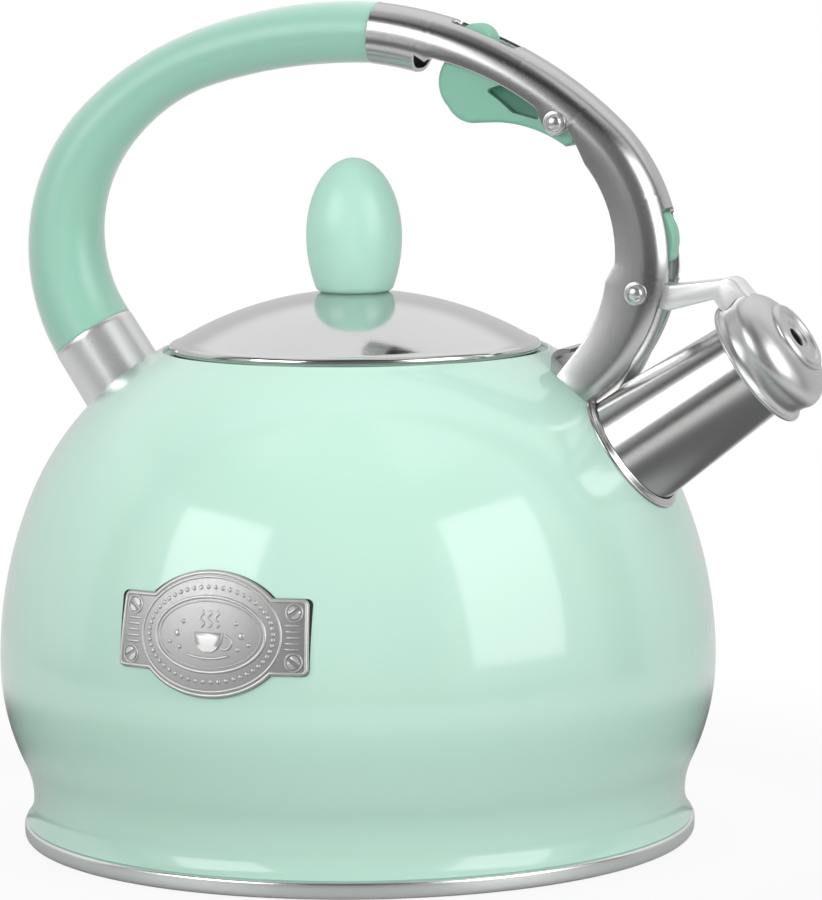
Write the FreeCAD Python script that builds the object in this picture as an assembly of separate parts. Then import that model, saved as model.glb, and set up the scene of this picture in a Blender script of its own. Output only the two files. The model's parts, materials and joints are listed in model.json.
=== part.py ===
"""A stovetop whistling kettle: enamelled body, lift-off lid, fixed arched handle and a trigger that tips
the whistle cap off the spout.

Frame: millimetres, +Z up, origin at the centre of the base where it meets the hob, +X towards the spout.
The handle, trigger, cap and spout all lie on the plane Y = 0; the nameplate faces -Y.
"""
import FreeCAD, Part
import math
import os

V = FreeCAD.Vector

# ---- driving dimensions ------------------------------------------------------------------------------

# body of revolution: (radius, height) pairs and arc radii of the outer skin
BELLY_R, BELLY_Z = 100.0, 50.0        # widest ring
WAIST_R, WAIST_Z = 91.3, 11.5         # pinch above the base rim
BELLY_LOW_ARC = 64.2                  # belly down to the waist
BELLY_HIGH_ARC = 119.0                # belly up to the shoulder
BELLY_HIGH_SWEEP = 22.2               # degrees of that arc
SHOULDER_ARC = 82.0
SHOULDER_TOP_R = 54.6                 # where the lip round the lid begins
FLARE_ARC, FLARE_Z = 9.0, 5.6         # foot flare over the base rim
SKIN = 0.8                            # body sheet
SEAT_R, SEAT_Z = 53.4, 134.6          # sunk seat that the lid stands in
NECK_R = 45.6                         # hole in the seat

# base
BASE_PLATE_R, BASE_SHEET = 88.0, 0.8
FLOOR_Z = 4.2
RIM_OUT_R, RIM_IN_R = 94.0, 90.3
RIM_LOW_Z = 0.4

# neck and lid
NECK_BORE_R, NECK_BOTTOM_Z = 44.8, 124.0
LID_BALL_R, LID_TOP_Z, LID_SHEET = 96.6, 152.3, 0.7
LID_BEAD_R, LID_BEAD_Z, LID_BEAD_T = 50.3, 136.9, 1.4
SKIRT_R, SKIRT_BOTTOM_Z = 44.4, 126.5

# knob
KNOB_R, KNOB_BELLY_Z, KNOB_TOP_Z = 13.3, 167.5, 189.0
KNOB_LOW_AXIS, KNOB_FOOT_Z = 24.5, 151.0
SCREW_R, INSERT_R = 2.0, 3.5

# spout and whistle cap, both on one tilted axis
SPOUT_ROOT = V(86.3, 0, 114.2)
SPOUT_TILT = 34.5
SPOUT_ROOT_R, SPOUT_TAPER = 16.15, 0.0657
SPOUT_SHEET, SPOUT_TIP_S = 0.8, 41.0
CAP_RIM_S, CAP_RIM_R, CAP_SHEET = 36.6, 17.6, 0.7
FACE_R, WHISTLE_HOLE_R = 10.3, 2.8

# handle shell: outer line of the channel, as arcs turning down towards the spout
CHANNEL_START = (5.23, 231.94)
CHANNEL_HEADING = -4.75
CHANNEL_ARCS = ((120.46, 38.2), (52.62, 67.6), (47.44, 33.0))   # radius, sweep
JOINT_X = 7.7                         # where the grip meets the shell
CHANNEL_W, CHANNEL_CORNER, CHANNEL_SHEET = 17.8, 7.4, 1.1
TUBE_H, TUBE_END_X = 16.7, 20.0       # closed stretch of the channel next to the grip
CHANNEL_DEPTH = 26.0                  # before its edge is trimmed
SLOT_HALF_W, SLOT_TOP_Z = 5.0, 176.6

# grip: centre line from the joint to the rear ferrule
GRIP_START = (7.7, 223.5)
GRIP_HEADING = 2.6
GRIP_ARCS = ((147.8, 20.3), (73.0, 30.7), (47.1, 75.5))
GRIP_RADII = ((0.0, 8.45), (0.12, 8.5), (0.26, 8.25), (0.4, 7.9), (0.52, 8.35), (0.66, 9.65), (0.82, 10.9),
              (1.0, 12.1))
CORE_R = 4.0
FERRULE_L, FERRULE_FOOT_R, FERRULE_SHEET = 24.0, 12.5, 1.0

# trigger and cap lever
TRIGGER_PIVOT = (62.1, 199.5)
CAP_PIVOT = (85.0, 153.8)
LEVER_BAR = (86.5, 162.8)
LEVER_BAR_R = 1.3
PIN_R, PIN_GAP = 2.0, 0.05
PADDLE_HALF_W, HOOK_HALF_W, BUTTON_HALF_W = 6.0, 3.0, 3.6
ARM_HALF_W, ARM_SHEET = 4.2, 0.8
HOOK_FACE_X = LEVER_BAR[0] + LEVER_BAR_R + 0.35

# nameplate
PLATE_X, PLATE_Z, PLATE_HALF_L, PLATE_EAR_H = -1.9, 70.4, 27.1, 9.9
PLATE_OVAL = (21.8, 16.4)
TAPE_T, PLATE_T = 0.25, 1.0


# ---- small drawing tools -----------------------------------------------------------------------------

def point(p, y=0.0):
    return V(p[0], y, p[1])


def path(start, *steps):
    """Edges in the XZ plane. A step is an end point, or a (through, end) pair of points for an arc."""
    edges, here = [], start
    for step in steps:
        if isinstance(step[0], tuple):
            through, end = step
            edges.append(Part.Arc(point(here), point(through), point(end)).toShape())
        else:
            end = step
            edges.append(Part.LineSegment(point(here), point(end)).toShape())
        here = end
    return edges


def face(edges):
    return Part.Face(Part.Wire(edges))


def closed(start, *steps):
    return face(path(start, *steps, start))


def turned(profile):
    """Turns an XZ face, whose x is a radius, about the Z axis."""
    return profile.revolve(V(0, 0, 0), V(0, 0, 1), 360)


def slab(profile, half_width):
    """Extrudes an XZ face to the same depth each side of Y = 0."""
    solid = profile.extrude(V(0, 2 * half_width, 0))
    solid.translate(V(0, -half_width, 0))
    return solid


def disc(centre, radius, half_width):
    return Part.makeCylinder(radius, 2 * half_width, point(centre, -half_width), V(0, 1, 0))


def on_arc(centre, radius, degrees):
    a = math.radians(degrees)
    return centre[0] + radius * math.cos(a), centre[1] + radius * math.sin(a)


def arc_step(centre, radius, start, end):
    return on_arc(centre, radius, (start + end) / 2), on_arc(centre, radius, end)


def arc_chain(start, heading, arcs, turn):
    """Tangent arcs as (centre, radius, first angle, last angle). turn is -1 to the right, +1 to the left."""
    chain, (x, z) = [], start
    for radius, sweep in arcs:
        a = heading - 90 * turn
        centre = on_arc((x, z), radius, a + 180)
        chain.append((centre, radius, a, a + turn * sweep))
        x, z = on_arc(centre, radius, a + turn * sweep)
        heading += turn * sweep
    return chain, (x, z), heading


def swept_arc(section, centre, start, end):
    """Turns a face that stands on the arc's first radius to its last one, about the arc's own centre."""
    return section.revolve(point(centre), V(0, -1, 0), end - start)


def loft(centres, radii, directions):
    rings = [Part.Wire(Part.makeCircle(r, point(c), V(d[0], 0, d[1])))
             for c, r, d in zip(centres, radii, directions)]
    return Part.makeLoft(rings, True)


def save(name, shape):
    shape = shape.removeSplitter() if len(shape.Solids) == 1 else shape
    if not shape.isValid():
        print("INVALID", name)
    print(f"{name:18s} solids {len(shape.Solids)}  volume {shape.Volume:10.1f} mm3")
    shape.exportStep(f"parts/{name}.step")


# ---- body --------------------------------------------------------------------------------------------

def skin_arcs():
    """The outer skin from the foot up, as (centre, radius, first angle, last angle, is hollow)."""
    low = (BELLY_R - BELLY_LOW_ARC, BELLY_Z)
    run, rise = WAIST_R - low[0], BELLY_Z - WAIST_Z
    waist_arc = (run ** 2 + rise ** 2 - BELLY_LOW_ARC ** 2) / (2 * (BELLY_LOW_ARC - run))
    waist = (WAIST_R + waist_arc, WAIST_Z)
    waist_sweep = math.degrees(math.atan2(rise, waist[0] - low[0]))
    flare = (WAIST_R + FLARE_ARC, WAIST_Z)
    flare_sweep = math.degrees(math.asin((WAIST_Z - FLARE_Z) / FLARE_ARC))
    high = (BELLY_R - BELLY_HIGH_ARC, BELLY_Z)
    shoulder = on_arc(high, BELLY_HIGH_ARC - SHOULDER_ARC, BELLY_HIGH_SWEEP)
    top = math.degrees(math.acos((SHOULDER_TOP_R - shoulder[0]) / SHOULDER_ARC))
    return ((flare, FLARE_ARC, 180 + flare_sweep, 180, True),
            (waist, waist_arc, 180, 180 - waist_sweep, True),
            (low, BELLY_LOW_ARC, -waist_sweep, 0, False),
            (high, BELLY_HIGH_ARC, 0, BELLY_HIGH_SWEEP, False),
            (shoulder, SHOULDER_ARC, BELLY_HIGH_SWEEP, top, False))


def skin(inset):
    """(first point, arc steps) of the skin moved inwards by inset."""
    arcs = [(c, r + inset if hollow else r - inset, a, b) for c, r, a, b, hollow in skin_arcs()]
    centre, radius, first, _ = arcs[0]
    return on_arc(centre, radius, first), [arc_step(*arc) for arc in arcs]


def skin_solid(grow):
    """The body as one full solid, its skin moved outwards by grow."""
    start, steps = skin(-grow)
    top = steps[-1][1]
    return turned(closed((0, start[1]), start, *steps, (0, top[1])))


def make_body_shell():
    start, outer = skin(0)
    inner_start, inner = skin(SKIN)
    edges = path(start, *outer, ((SEAT_R + 0.5, 136.1), (SEAT_R, SEAT_Z + 0.9)), (SEAT_R, SEAT_Z),
                 (NECK_R, SEAT_Z), (NECK_R, SEAT_Z - SKIN), (SEAT_R + SKIN, SEAT_Z - SKIN), inner[-1][1])
    edges += path(inner_start, *inner)
    edges += path(inner_start, start)
    shell = turned(face(Part.__sortEdges__(edges)))
    return shell.cut(spout_plug(SPOUT_ROOT_R - 2.4))


def make_base_pan():
    """The inner floor and the polished rim, folded up round the foot of the body's skin."""
    rim_top = FLARE_Z
    pan = turned(closed(
        (0, FLOOR_Z), (RIM_IN_R, FLOOR_Z), (RIM_IN_R, RIM_LOW_Z + 1.2),
        ((RIM_IN_R + 0.35, RIM_LOW_Z + 0.35), (RIM_IN_R + 1.2, RIM_LOW_Z)), (RIM_OUT_R - 1.9, RIM_LOW_Z),
        ((RIM_OUT_R - 0.55, RIM_LOW_Z + 0.55), (RIM_OUT_R, RIM_LOW_Z + 1.9)), (RIM_OUT_R, rim_top - 1.6),
        ((RIM_OUT_R - 0.3, rim_top - 0.5), (RIM_OUT_R - 1.2, rim_top)), (RIM_IN_R + 0.4, rim_top),
        (RIM_IN_R - 0.2, FLOOR_Z + BASE_SHEET), (0, FLOOR_Z + BASE_SHEET)))
    return pan.cut(make_body_shell())


def make_induction_plate():
    """A shallow steel dish that wraps the aluminium."""
    r, t = BASE_PLATE_R, BASE_SHEET
    return turned(closed((0, 0), (r - 1, 0), ((r - 0.3, 0.3), (r, 1.0)), (r, FLOOR_Z), (r - t, FLOOR_Z),
                         (r - t, t), (0, t)))


def make_heat_spreader():
    return Part.makeCylinder(BASE_PLATE_R - BASE_SHEET, FLOOR_Z - BASE_SHEET, V(0, 0, BASE_SHEET))


def make_neck_ring():
    bore, tube = NECK_BORE_R, NECK_R - 0.05
    lip_r, lip_z = SEAT_R - 1.9, SEAT_Z + 0.6
    return turned(closed((bore, NECK_BOTTOM_Z), (tube, NECK_BOTTOM_Z), (tube, SEAT_Z), (lip_r, SEAT_Z),
                         (lip_r, lip_z), (bore + 0.8, lip_z), ((bore + 0.2, lip_z - 0.2), (bore, lip_z - 0.8))))


# ---- lid ---------------------------------------------------------------------------------------------

def lid_ball(inset):
    radius = LID_BALL_R - inset
    return Part.makeSphere(radius, V(0, 0, LID_TOP_Z - LID_BALL_R))


def make_lid_dome():
    centre_z = LID_TOP_Z - LID_BALL_R
    cap = lid_ball(0).cut(lid_ball(LID_SHEET))
    cap = cap.common(Part.makeCylinder(LID_BEAD_R, 30, V(0, 0, centre_z + 75)))
    bead = Part.makeTorus(LID_BEAD_R, LID_BEAD_T, V(0, 0, LID_BEAD_Z))
    hole = Part.makeCylinder(SCREW_R + 0.3, 20, V(0, 0, LID_TOP_Z - 10))
    return cap.fuse(bead).cut(hole)


def make_lid_skirt():
    height = LID_TOP_Z - SKIRT_BOTTOM_Z
    base = V(0, 0, SKIRT_BOTTOM_Z)
    tube = Part.makeCylinder(SKIRT_R, height, base).cut(Part.makeCylinder(SKIRT_R - 0.6, height, base))
    return tube.common(lid_ball(LID_SHEET))


def make_knob():
    top = Part.Ellipse(V(0, 0, KNOB_TOP_Z), V(KNOB_R, 0, KNOB_BELLY_Z), V(0, 0, KNOB_BELLY_Z))
    low = Part.Ellipse(V(0, 0, KNOB_BELLY_Z - KNOB_LOW_AXIS), V(KNOB_R, 0, KNOB_BELLY_Z),
                       V(0, 0, KNOB_BELLY_Z))
    drop = KNOB_BELLY_Z - KNOB_FOOT_Z
    foot_r = KNOB_R * math.sqrt(1 - (drop / KNOB_LOW_AXIS) ** 2)
    belly, tip, foot = V(KNOB_R, 0, KNOB_BELLY_Z), V(0, 0, KNOB_TOP_Z), V(foot_r, 0, KNOB_FOOT_Z)
    upper = quarter(top, belly, tip)
    lower = quarter(low, foot, belly)
    egg = turned(face([Part.LineSegment(V(0, 0, KNOB_FOOT_Z), foot).toShape(), lower, upper,
                       Part.LineSegment(tip, V(0, 0, KNOB_FOOT_Z)).toShape()]))
    egg = egg.cut(lid_ball(0))
    return egg.cut(Part.makeCylinder(INSERT_R, 18, V(0, 0, LID_TOP_Z - 4)))


def quarter(ellipse, start, end):
    """The shorter stretch of an ellipse between two of its points."""
    a, b = ellipse.parameter(start), ellipse.parameter(end)
    if (b - a) % (2 * math.pi) > math.pi:
        a, b = b, a
    return Part.ArcOfEllipse(ellipse, a, b).toShape()


def make_knob_insert():
    base = V(0, 0, LID_TOP_Z + 0.1)
    outer = Part.makeCylinder(INSERT_R - 0.02, 12, base)
    return outer.cut(Part.makeCylinder(SCREW_R + 0.05, 12, base))


def make_knob_screw():
    shank = Part.makeCylinder(SCREW_R, 14, V(0, 0, LID_TOP_Z - 2.0))
    head = Part.makeCylinder(4.0, 2.2, V(0, 0, LID_TOP_Z - 4.0))
    head = head.makeFillet(0.8, [e for e in head.Edges if e.BoundBox.ZMax < LID_TOP_Z - 3.9])
    cross = [Part.makeBox(4.6, 0.9, 1.2, V(-2.3, -0.45, LID_TOP_Z - 4.1)),
             Part.makeBox(0.9, 4.6, 1.2, V(-0.45, -2.3, LID_TOP_Z - 4.1))]
    return head.fuse(shank).cut(cross[0].fuse(cross[1]))


def make_knob_washer():
    base = V(0, 0, LID_TOP_Z - 1.75)
    return Part.makeCylinder(5.0, 0.8, base).cut(Part.makeCylinder(SCREW_R + 0.2, 0.8, base))


# ---- spout -------------------------------------------------------------------------------------------

def on_spout(shape):
    """Moves a shape drawn about the X axis onto the spout's axis, x = 0 at the spout's root."""
    shape.rotate(V(0, 0, 0), V(0, 1, 0), -SPOUT_TILT)
    shape.translate(SPOUT_ROOT)
    return shape


def about_spout(profile):
    return on_spout(profile.revolve(V(0, 0, 0), V(1, 0, 0), 360))


def spout_r(s):
    return SPOUT_ROOT_R - SPOUT_TAPER * s


def spout_plug(radius, length=60.0):
    return on_spout(Part.makeCylinder(radius, length, V(-30, 0, 0), V(1, 0, 0)))


def spout_cone(grow):
    start, end = -24.0, SPOUT_TIP_S
    return on_spout(Part.makeCone(spout_r(start) + grow, spout_r(end) + grow, end - start,
                                  V(start, 0, 0), V(1, 0, 0)))


def make_spout_tube():
    return spout_cone(0).cut(spout_cone(-SPOUT_SHEET)).cut(skin_solid(0))


def make_spout_flange():
    """A pressed collar that lies on the body round the spout's root."""
    lip = skin_solid(1.1).cut(skin_solid(0))
    return lip.common(collar_cone()).cut(spout_cone(0))


def collar_cone():
    return on_spout(Part.makeCone(spout_r(-12) + 2.3, spout_r(8) + 1.5, 20, V(-12, 0, 0), V(1, 0, 0)))


# ---- whistle cap -------------------------------------------------------------------------------------

def cap_profile(inset):
    """Outer line of the cap as (along the axis, radius): hollow neck, round bulge, front edge."""
    neck = (CAP_RIM_S + 2.6, CAP_RIM_R - 0.3 - inset)
    bulge = (CAP_RIM_S + 6.6, CAP_RIM_R + 0.1 - inset)
    turn = (CAP_RIM_S + 10.4 - inset * 0.7, CAP_RIM_R - 2.5 - inset * 0.7)
    front = (CAP_RIM_S + 12.9 - inset, FACE_R + 0.05)
    curve = Part.BSplineCurve()
    curve.interpolate([point((CAP_RIM_S, CAP_RIM_R + 0.4 - inset)), point(neck), point(bulge), point(turn),
                       point(front)])
    return curve.toShape(), (CAP_RIM_S, CAP_RIM_R + 0.4 - inset), front


def make_cap_shell():
    outer, outer_start, outer_end = cap_profile(0)
    inner, inner_start, inner_end = cap_profile(CAP_SHEET)
    wall = face(Part.__sortEdges__([outer, inner] + path(outer_end, inner_end)
                                   + path(inner_start, outer_start)))
    lip = Part.Face(Part.Wire(Part.makeCircle(0.65, point((CAP_RIM_S, CAP_RIM_R)), V(0, 1, 0))))
    return about_spout(wall).fuse(about_spout(lip))


def cap_block():
    """The space that the cap shell fills, used to trim what lands on it."""
    outer, start, end = cap_profile(0)
    return about_spout(face(Part.__sortEdges__([outer] + path(end, (end[0], 0), (start[0], 0), start))))


def make_whistle_face():
    """The front half of the whistle: a dished disc with a raised rolled edge."""
    s = CAP_RIM_S + 12.4
    hole, edge = WHISTLE_HOLE_R, FACE_R
    return about_spout(closed(
        (s + 0.3, hole), (s + 0.9, hole), (s + 0.9, hole + 1.7), (s + 1.5, hole + 2.0), (s + 1.3, edge - 2.3),
        ((s + 2.1, edge - 1.2), (s + 1.2, edge)), (s - 0.2, edge), (s - 0.2, edge - 0.8),
        (s + 0.7, edge - 2.3), (s + 0.8, hole + 2.2), (s + 0.3, hole + 1.9)))


def make_whistle_plate():
    """The rear half of the whistle: the disc that closes the spout's mouth."""
    s = SPOUT_TIP_S + 0.4
    return about_spout(closed((s, WHISTLE_HOLE_R), (s, 14.2), (s + 1.2, 16.6), (s + 2.0, 16.6),
                              (s + 0.7, 14.0), (s + 0.7, WHISTLE_HOLE_R)))


def make_cap_arm():
    """A pressed lever: two cheeks on the pin, a top web over the spout, and a bar for the trigger."""
    px, pz = CAP_PIVOT
    cheek = closed((px, pz + 3.4), (px + 7.9, pz + 2.1), (107.2, 157.6), ((110.2, 158.1), (112.3, 156.8)),
                   (116.0, 152.6), (111.0, 148.0), (107.1, 149.6), (105.3, 152.3), (px + 7.8, pz - 4.8),
                   (px, pz - 3.4))
    under = closed((px - 20, pz - 20), (px - 20, pz + 20), (95.0, pz + 20), (95.0, 155.6), (107.0, 156.8),
                   ((109.8, 157.2), (111.5, 156.2)), (115.5, 151.8), (111.0, 130.0))
    arm = slab(cheek, ARM_HALF_W)
    ear = closed((px - 3.4, pz), (LEVER_BAR[0] - 2.1, LEVER_BAR[1]), (LEVER_BAR[0] + 2.1, LEVER_BAR[1]),
                 (px + 3.6, pz))
    for extra in (slab(ear, ARM_HALF_W), disc(CAP_PIVOT, 3.6, ARM_HALF_W), disc(LEVER_BAR, 2.1, ARM_HALF_W)):
        arm = arm.fuse(extra)
    arm = arm.cut(slab(under, ARM_HALF_W - ARM_SHEET))
    arm = arm.fuse(disc(LEVER_BAR, LEVER_BAR_R, ARM_HALF_W - ARM_SHEET))
    return arm.cut(disc(CAP_PIVOT, PIN_R + PIN_GAP, 10)).cut(cap_block())


def make_cap_spring():
    """A torsion spring on the cap's pin, beside the arm, its two legs lying back inside the channel."""
    wire_r, coil_r, turns, leg = 0.4, 2.75, 2.5, 7.0
    pitch = 2 * wire_r + 0.1
    px, pz = CAP_PIVOT
    helix = Part.makeHelix(pitch, pitch * turns, coil_r)
    ring = Part.Wire(Part.makeCircle(wire_r, V(coil_r, 0, 0), V(0, 1, 0)))
    coil = Part.Wire(helix).makePipeShell([ring], True, True)
    first_leg = Part.makeCylinder(wire_r, leg, V(coil_r, 0, 0), V(0, -1, 0))
    last_leg = Part.makeCylinder(wire_r, leg, V(-coil_r, 0, pitch * turns), V(0, -1, 0))
    spring = coil.fuse(first_leg).fuse(last_leg)
    spring.rotate(V(0, 0, 0), V(0, 0, 1), -90)
    spring.rotate(V(0, 0, 0), V(1, 0, 0), -90)
    spring.translate(V(px, ARM_HALF_W + wire_r + 0.15, pz))
    return spring


# ---- handle ------------------------------------------------------------------------------------------

def channel_chain():
    chain, _, _ = arc_chain(CHANNEL_START, CHANNEL_HEADING, CHANNEL_ARCS, -1)
    centre, radius, _, end = chain[0]
    joint = math.degrees(math.acos((JOINT_X - centre[0]) / (radius - TUBE_H / 2)))
    chain[0] = (centre, radius, joint, end)
    return chain


def section_edges(centre, angle, points):
    """Edges through (depth below the outer line's radius, y) points on one radius of an arc."""
    def place(p):
        x, z = on_arc(centre, p[0], angle)
        return V(x, p[1], z)
    edges = []
    for kind, *ps in points:
        ps = [place(p) for p in ps]
        maker = Part.LineSegment if kind == "line" else Part.Arc
        edges.append(maker(*ps).toShape())
    return edges


def u_section(centre, angle, top, half, corner, bottom):
    """A face closed over the top with rounded corners, and square at the bottom."""
    c = corner * (1 - math.sqrt(0.5))
    return face(section_edges(centre, angle, (
        ("line", (bottom, -half), (top - corner, -half)),
        ("arc", (top - corner, -half), (top - c, -half + c), (top, -half + corner)),
        ("line", (top, -half + corner), (top, half - corner)),
        ("arc", (top, half - corner), (top - c, half - c), (top - corner, half)),
        ("line", (top - corner, half), (bottom, half)),
        ("line", (bottom, half), (bottom, -half)))))


def tube_section(centre, angle, top, half, corner, bottom):
    """The same face with all four corners rounded."""
    c = corner * (1 - math.sqrt(0.5))
    return face(section_edges(centre, angle, (
        ("line", (bottom + corner, -half), (top - corner, -half)),
        ("arc", (top - corner, -half), (top - c, -half + c), (top, -half + corner)),
        ("line", (top, -half + corner), (top, half - corner)),
        ("arc", (top, half - corner), (top - c, half - c), (top - corner, half)),
        ("line", (top - corner, half), (bottom + corner, half)),
        ("arc", (bottom + corner, half), (bottom + c, half - c), (bottom, half - corner)),
        ("line", (bottom, half - corner), (bottom, -half + corner)),
        ("arc", (bottom, -half + corner), (bottom + c, -half + c), (bottom + corner, -half)))))


def channel_solid(inset):
    """The open channel as a full solid, from the end of the closed stretch to its foot."""
    half, corner = CHANNEL_W / 2 - inset, CHANNEL_CORNER - inset
    chain = channel_chain()
    centre, radius, _, end = chain[0]
    chain[0] = (centre, radius, tube_end_angle(), end)
    solid = None
    for centre, radius, start, end in chain:
        section = u_section(centre, start, radius - inset, half, corner, radius - CHANNEL_DEPTH)
        piece = swept_arc(section, centre, start, end)
        solid = piece if solid is None else solid.fuse(piece)
    return solid


def tube_end_angle():
    centre, radius, _, _ = channel_chain()[0]
    return math.degrees(math.acos((TUBE_END_X - centre[0]) / (radius - TUBE_H)))


def tube_solid(inset, end=None):
    centre, radius, start, _ = channel_chain()[0]
    half, corner = CHANNEL_W / 2 - inset, CHANNEL_CORNER - inset
    section = tube_section(centre, start, radius - inset, half, corner, radius - TUBE_H + inset)
    return swept_arc(section, centre, start, tube_end_angle() if end is None else end)


def channel_side():
    """The side view of the channel's walls: outside the handle on one side, the walls' edge on the other."""
    return closed(
        (18.0, 240.0), (100.0, 240.0), (112.0, 170.0), (94.6, 157.5), (92.3, 156.2),
        ((89.2, 145.9), (84.2, 136.6)), ((79.6, 127.8), (72.0, 118.0)), (60.0, 126.0), (63.2, 132.2),
        (68.6, 139.0), ((73.2, 146.4), (76.2, 157.0)), (78.9, 161.6), ((77.9, 173.6), (70.6, 188.2)),
        (66.0, 197.0), (57.6, 202.9), ((43.6, 211.0), (28.3, 216.3)), ((26.3, 216.6), (24.4, 215.6)),
        (21.6, 217.6), (18.0, 217.6))


def make_handle_shell():
    open_part = channel_solid(0).cut(channel_solid(CHANNEL_SHEET))
    side = slab(channel_side(), 12).fuse(disc(TRIGGER_PIVOT, 3.6, 12))
    open_part = open_part.common(side)
    shell = tube_solid(0).cut(tube_solid(CHANNEL_SHEET)).fuse(open_part)
    top_slot = slab(closed((30.5, 240.0), (49.5, 240.0), (49.5, 214.0), (30.5, 219.0)), SLOT_HALF_W - 0.6)
    front_slot = slab(closed((84.0, SLOT_TOP_Z), (104.0, SLOT_TOP_Z), (104.0, 150.0), (84.0, 150.0)),
                      SLOT_HALF_W)
    for cutter in (top_slot, front_slot, disc(TRIGGER_PIVOT, PIN_R + PIN_GAP, 12),
                   disc(CAP_PIVOT, PIN_R + PIN_GAP, 12), skin_solid(0.02), spout_cone(0.15)):
        shell = shell.cut(cutter)
    return max(shell.Solids, key=lambda s: s.Volume)


def make_front_plug():
    """The nylon plug that joins the grip to the closed end of the channel."""
    return tube_solid(CHANNEL_SHEET + 0.05, tube_end_angle() + 2.0)


def make_front_bracket():
    """A bent steel strap that ties the channel's two walls to the body."""
    half = CHANNEL_W / 2 - CHANNEL_SHEET - 0.1
    strap = slab(closed((60.2, 130.0), (60.4, 135.8), ((61.8, 137.6), (63.8, 138.3)), (66.0, 138.3),
                        (66.0, 137.2), (63.9, 137.1), ((62.6, 136.6), (61.7, 135.4)), (70.5, 126.8),
                        (69.0, 120.0)), half)
    return strap.cut(skin_solid(0.02)).cut(collar_cone())


def grip_chain():
    return arc_chain(GRIP_START, 180 - GRIP_HEADING, GRIP_ARCS, 1)


def grip_stations():
    """(centre, radius, direction) of the grip's rings, from the joint to the ferrule."""
    chain, _, _ = grip_chain()
    lengths = [radius * math.radians(b - a) for _, radius, a, b in chain]
    total = sum(lengths)
    rings = []
    for fraction, ring_r in GRIP_RADII:
        left = fraction * total
        for (centre, radius, a, _), length in zip(chain, lengths):
            if left <= length + 1e-6:
                angle = a + math.degrees(left / radius)
                break
            left -= length
        heading = math.radians(angle + 90)
        rings.append((on_arc(centre, radius, angle), ring_r, (math.cos(heading), math.sin(heading))))
    return rings


def grip_tube(radius):
    """A round bar of one radius along the grip's centre line and on through the ferrule."""
    chain, end, heading = grip_chain()
    bar = None
    for centre, arc_r, a, b in chain:
        x, z = on_arc(centre, arc_r, a)
        tangent = math.radians(a + 90)
        ring = Part.Face(Part.Wire(Part.makeCircle(radius, V(x, 0, z),
                                                   V(math.cos(tangent), 0, math.sin(tangent)))))
        piece = swept_arc(ring, centre, a, b)
        bar = piece if bar is None else bar.fuse(piece)
    run = math.radians(heading)
    return bar.fuse(Part.makeCylinder(radius, FERRULE_L + 4, point(end), V(math.cos(run), 0, math.sin(run))))


def make_grip():
    rings = grip_stations()
    centres, radii, directions = zip(*rings)
    grip = loft(centres, radii, directions)
    return grip.cut(grip_tube(CORE_R + 0.05)).cut(joint_block())


def joint_block():
    """Everything on the shell's side of the joint face."""
    centre, radius, start, _ = channel_chain()[0]
    x, z = on_arc(centre, radius - TUBE_H / 2, start)
    normal = math.radians(start - 90)
    block = Part.makeBox(40, 60, 60, V(0, -30, -30))
    block.rotate(V(0, 0, 0), V(0, 1, 0), -math.degrees(normal))
    block.translate(V(x, 0, z))
    return block


def make_grip_core():
    return grip_tube(CORE_R).cut(joint_block()).cut(skin_solid(0.02))


def ferrule_cone(inset):
    _, end, heading = grip_chain()
    run = math.radians(heading)
    top_r = GRIP_RADII[-1][1] + 0.1
    return Part.makeCone(top_r - inset, FERRULE_FOOT_R - inset, FERRULE_L, point(end),
                         V(math.cos(run), 0, math.sin(run)))


def make_rear_ferrule():
    return ferrule_cone(0).cut(ferrule_cone(FERRULE_SHEET)).cut(skin_solid(0.02))


def make_rear_foot():
    """A steel disc welded to the body inside the ferrule, which the handle's core stands in."""
    pad = ferrule_cone(FERRULE_SHEET + 0.05).common(skin_solid(3.0)).cut(skin_solid(0.02))
    return pad.cut(grip_tube(CORE_R + 0.02))


# ---- trigger -----------------------------------------------------------------------------------------

def make_trigger():
    """The squeeze paddle, the button that rises through the top slot, and the hook at the front slot."""
    paddle = closed(
        (29.6, 216.3), ((27.3, 210.4), (30.0, 203.4)), ((33.6, 199.9), (38.6, 199.1)), (44.5, 199.3),
        ((54.6, 197.5), (63.9, 192.9)), (66.5, 193.8), (66.6, 202.0), (56.0, 206.6), (45.0, 212.6))
    button = closed((33.4, 213.0), (33.4, 224.4), ((36.6, 226.0), (41.4, 224.0)), (42.4, 222.2),
                    (42.4, 212.0))
    hook = closed(
        (64.0, 194.2), (64.0, 203.4), ((79.2, 193.0), (88.2, 175.6)), (91.2, 175.2),
        ((93.7, 169.8), (93.4, 164.2)), ((92.5, 162.3), (91.2, 162.0)), (HOOK_FACE_X, 162.0),
        (HOOK_FACE_X, 168.4), ((82.9, 181.9), (71.2, 193.6)))
    trigger = slab(paddle, PADDLE_HALF_W).fuse(slab(button, BUTTON_HALF_W)).fuse(slab(hook, HOOK_HALF_W))
    trigger = trigger.fuse(disc(TRIGGER_PIVOT, 4.2, PADDLE_HALF_W))
    hollow = closed((40.9, 208.2), (45.0, 205.3), (49.0, 201.9), (56.8, 199.9), (56.0, 204.6), (47.0, 210.0))
    for side in (-1, 1):
        pocket = hollow.extrude(V(0, 2.5, 0))
        pocket.translate(V(0, -PADDLE_HALF_W if side < 0 else PADDLE_HALF_W - 2.5, 0))
        trigger = trigger.cut(pocket)
    return trigger.cut(disc(TRIGGER_PIVOT, PIN_R + PIN_GAP, 10))


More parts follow.
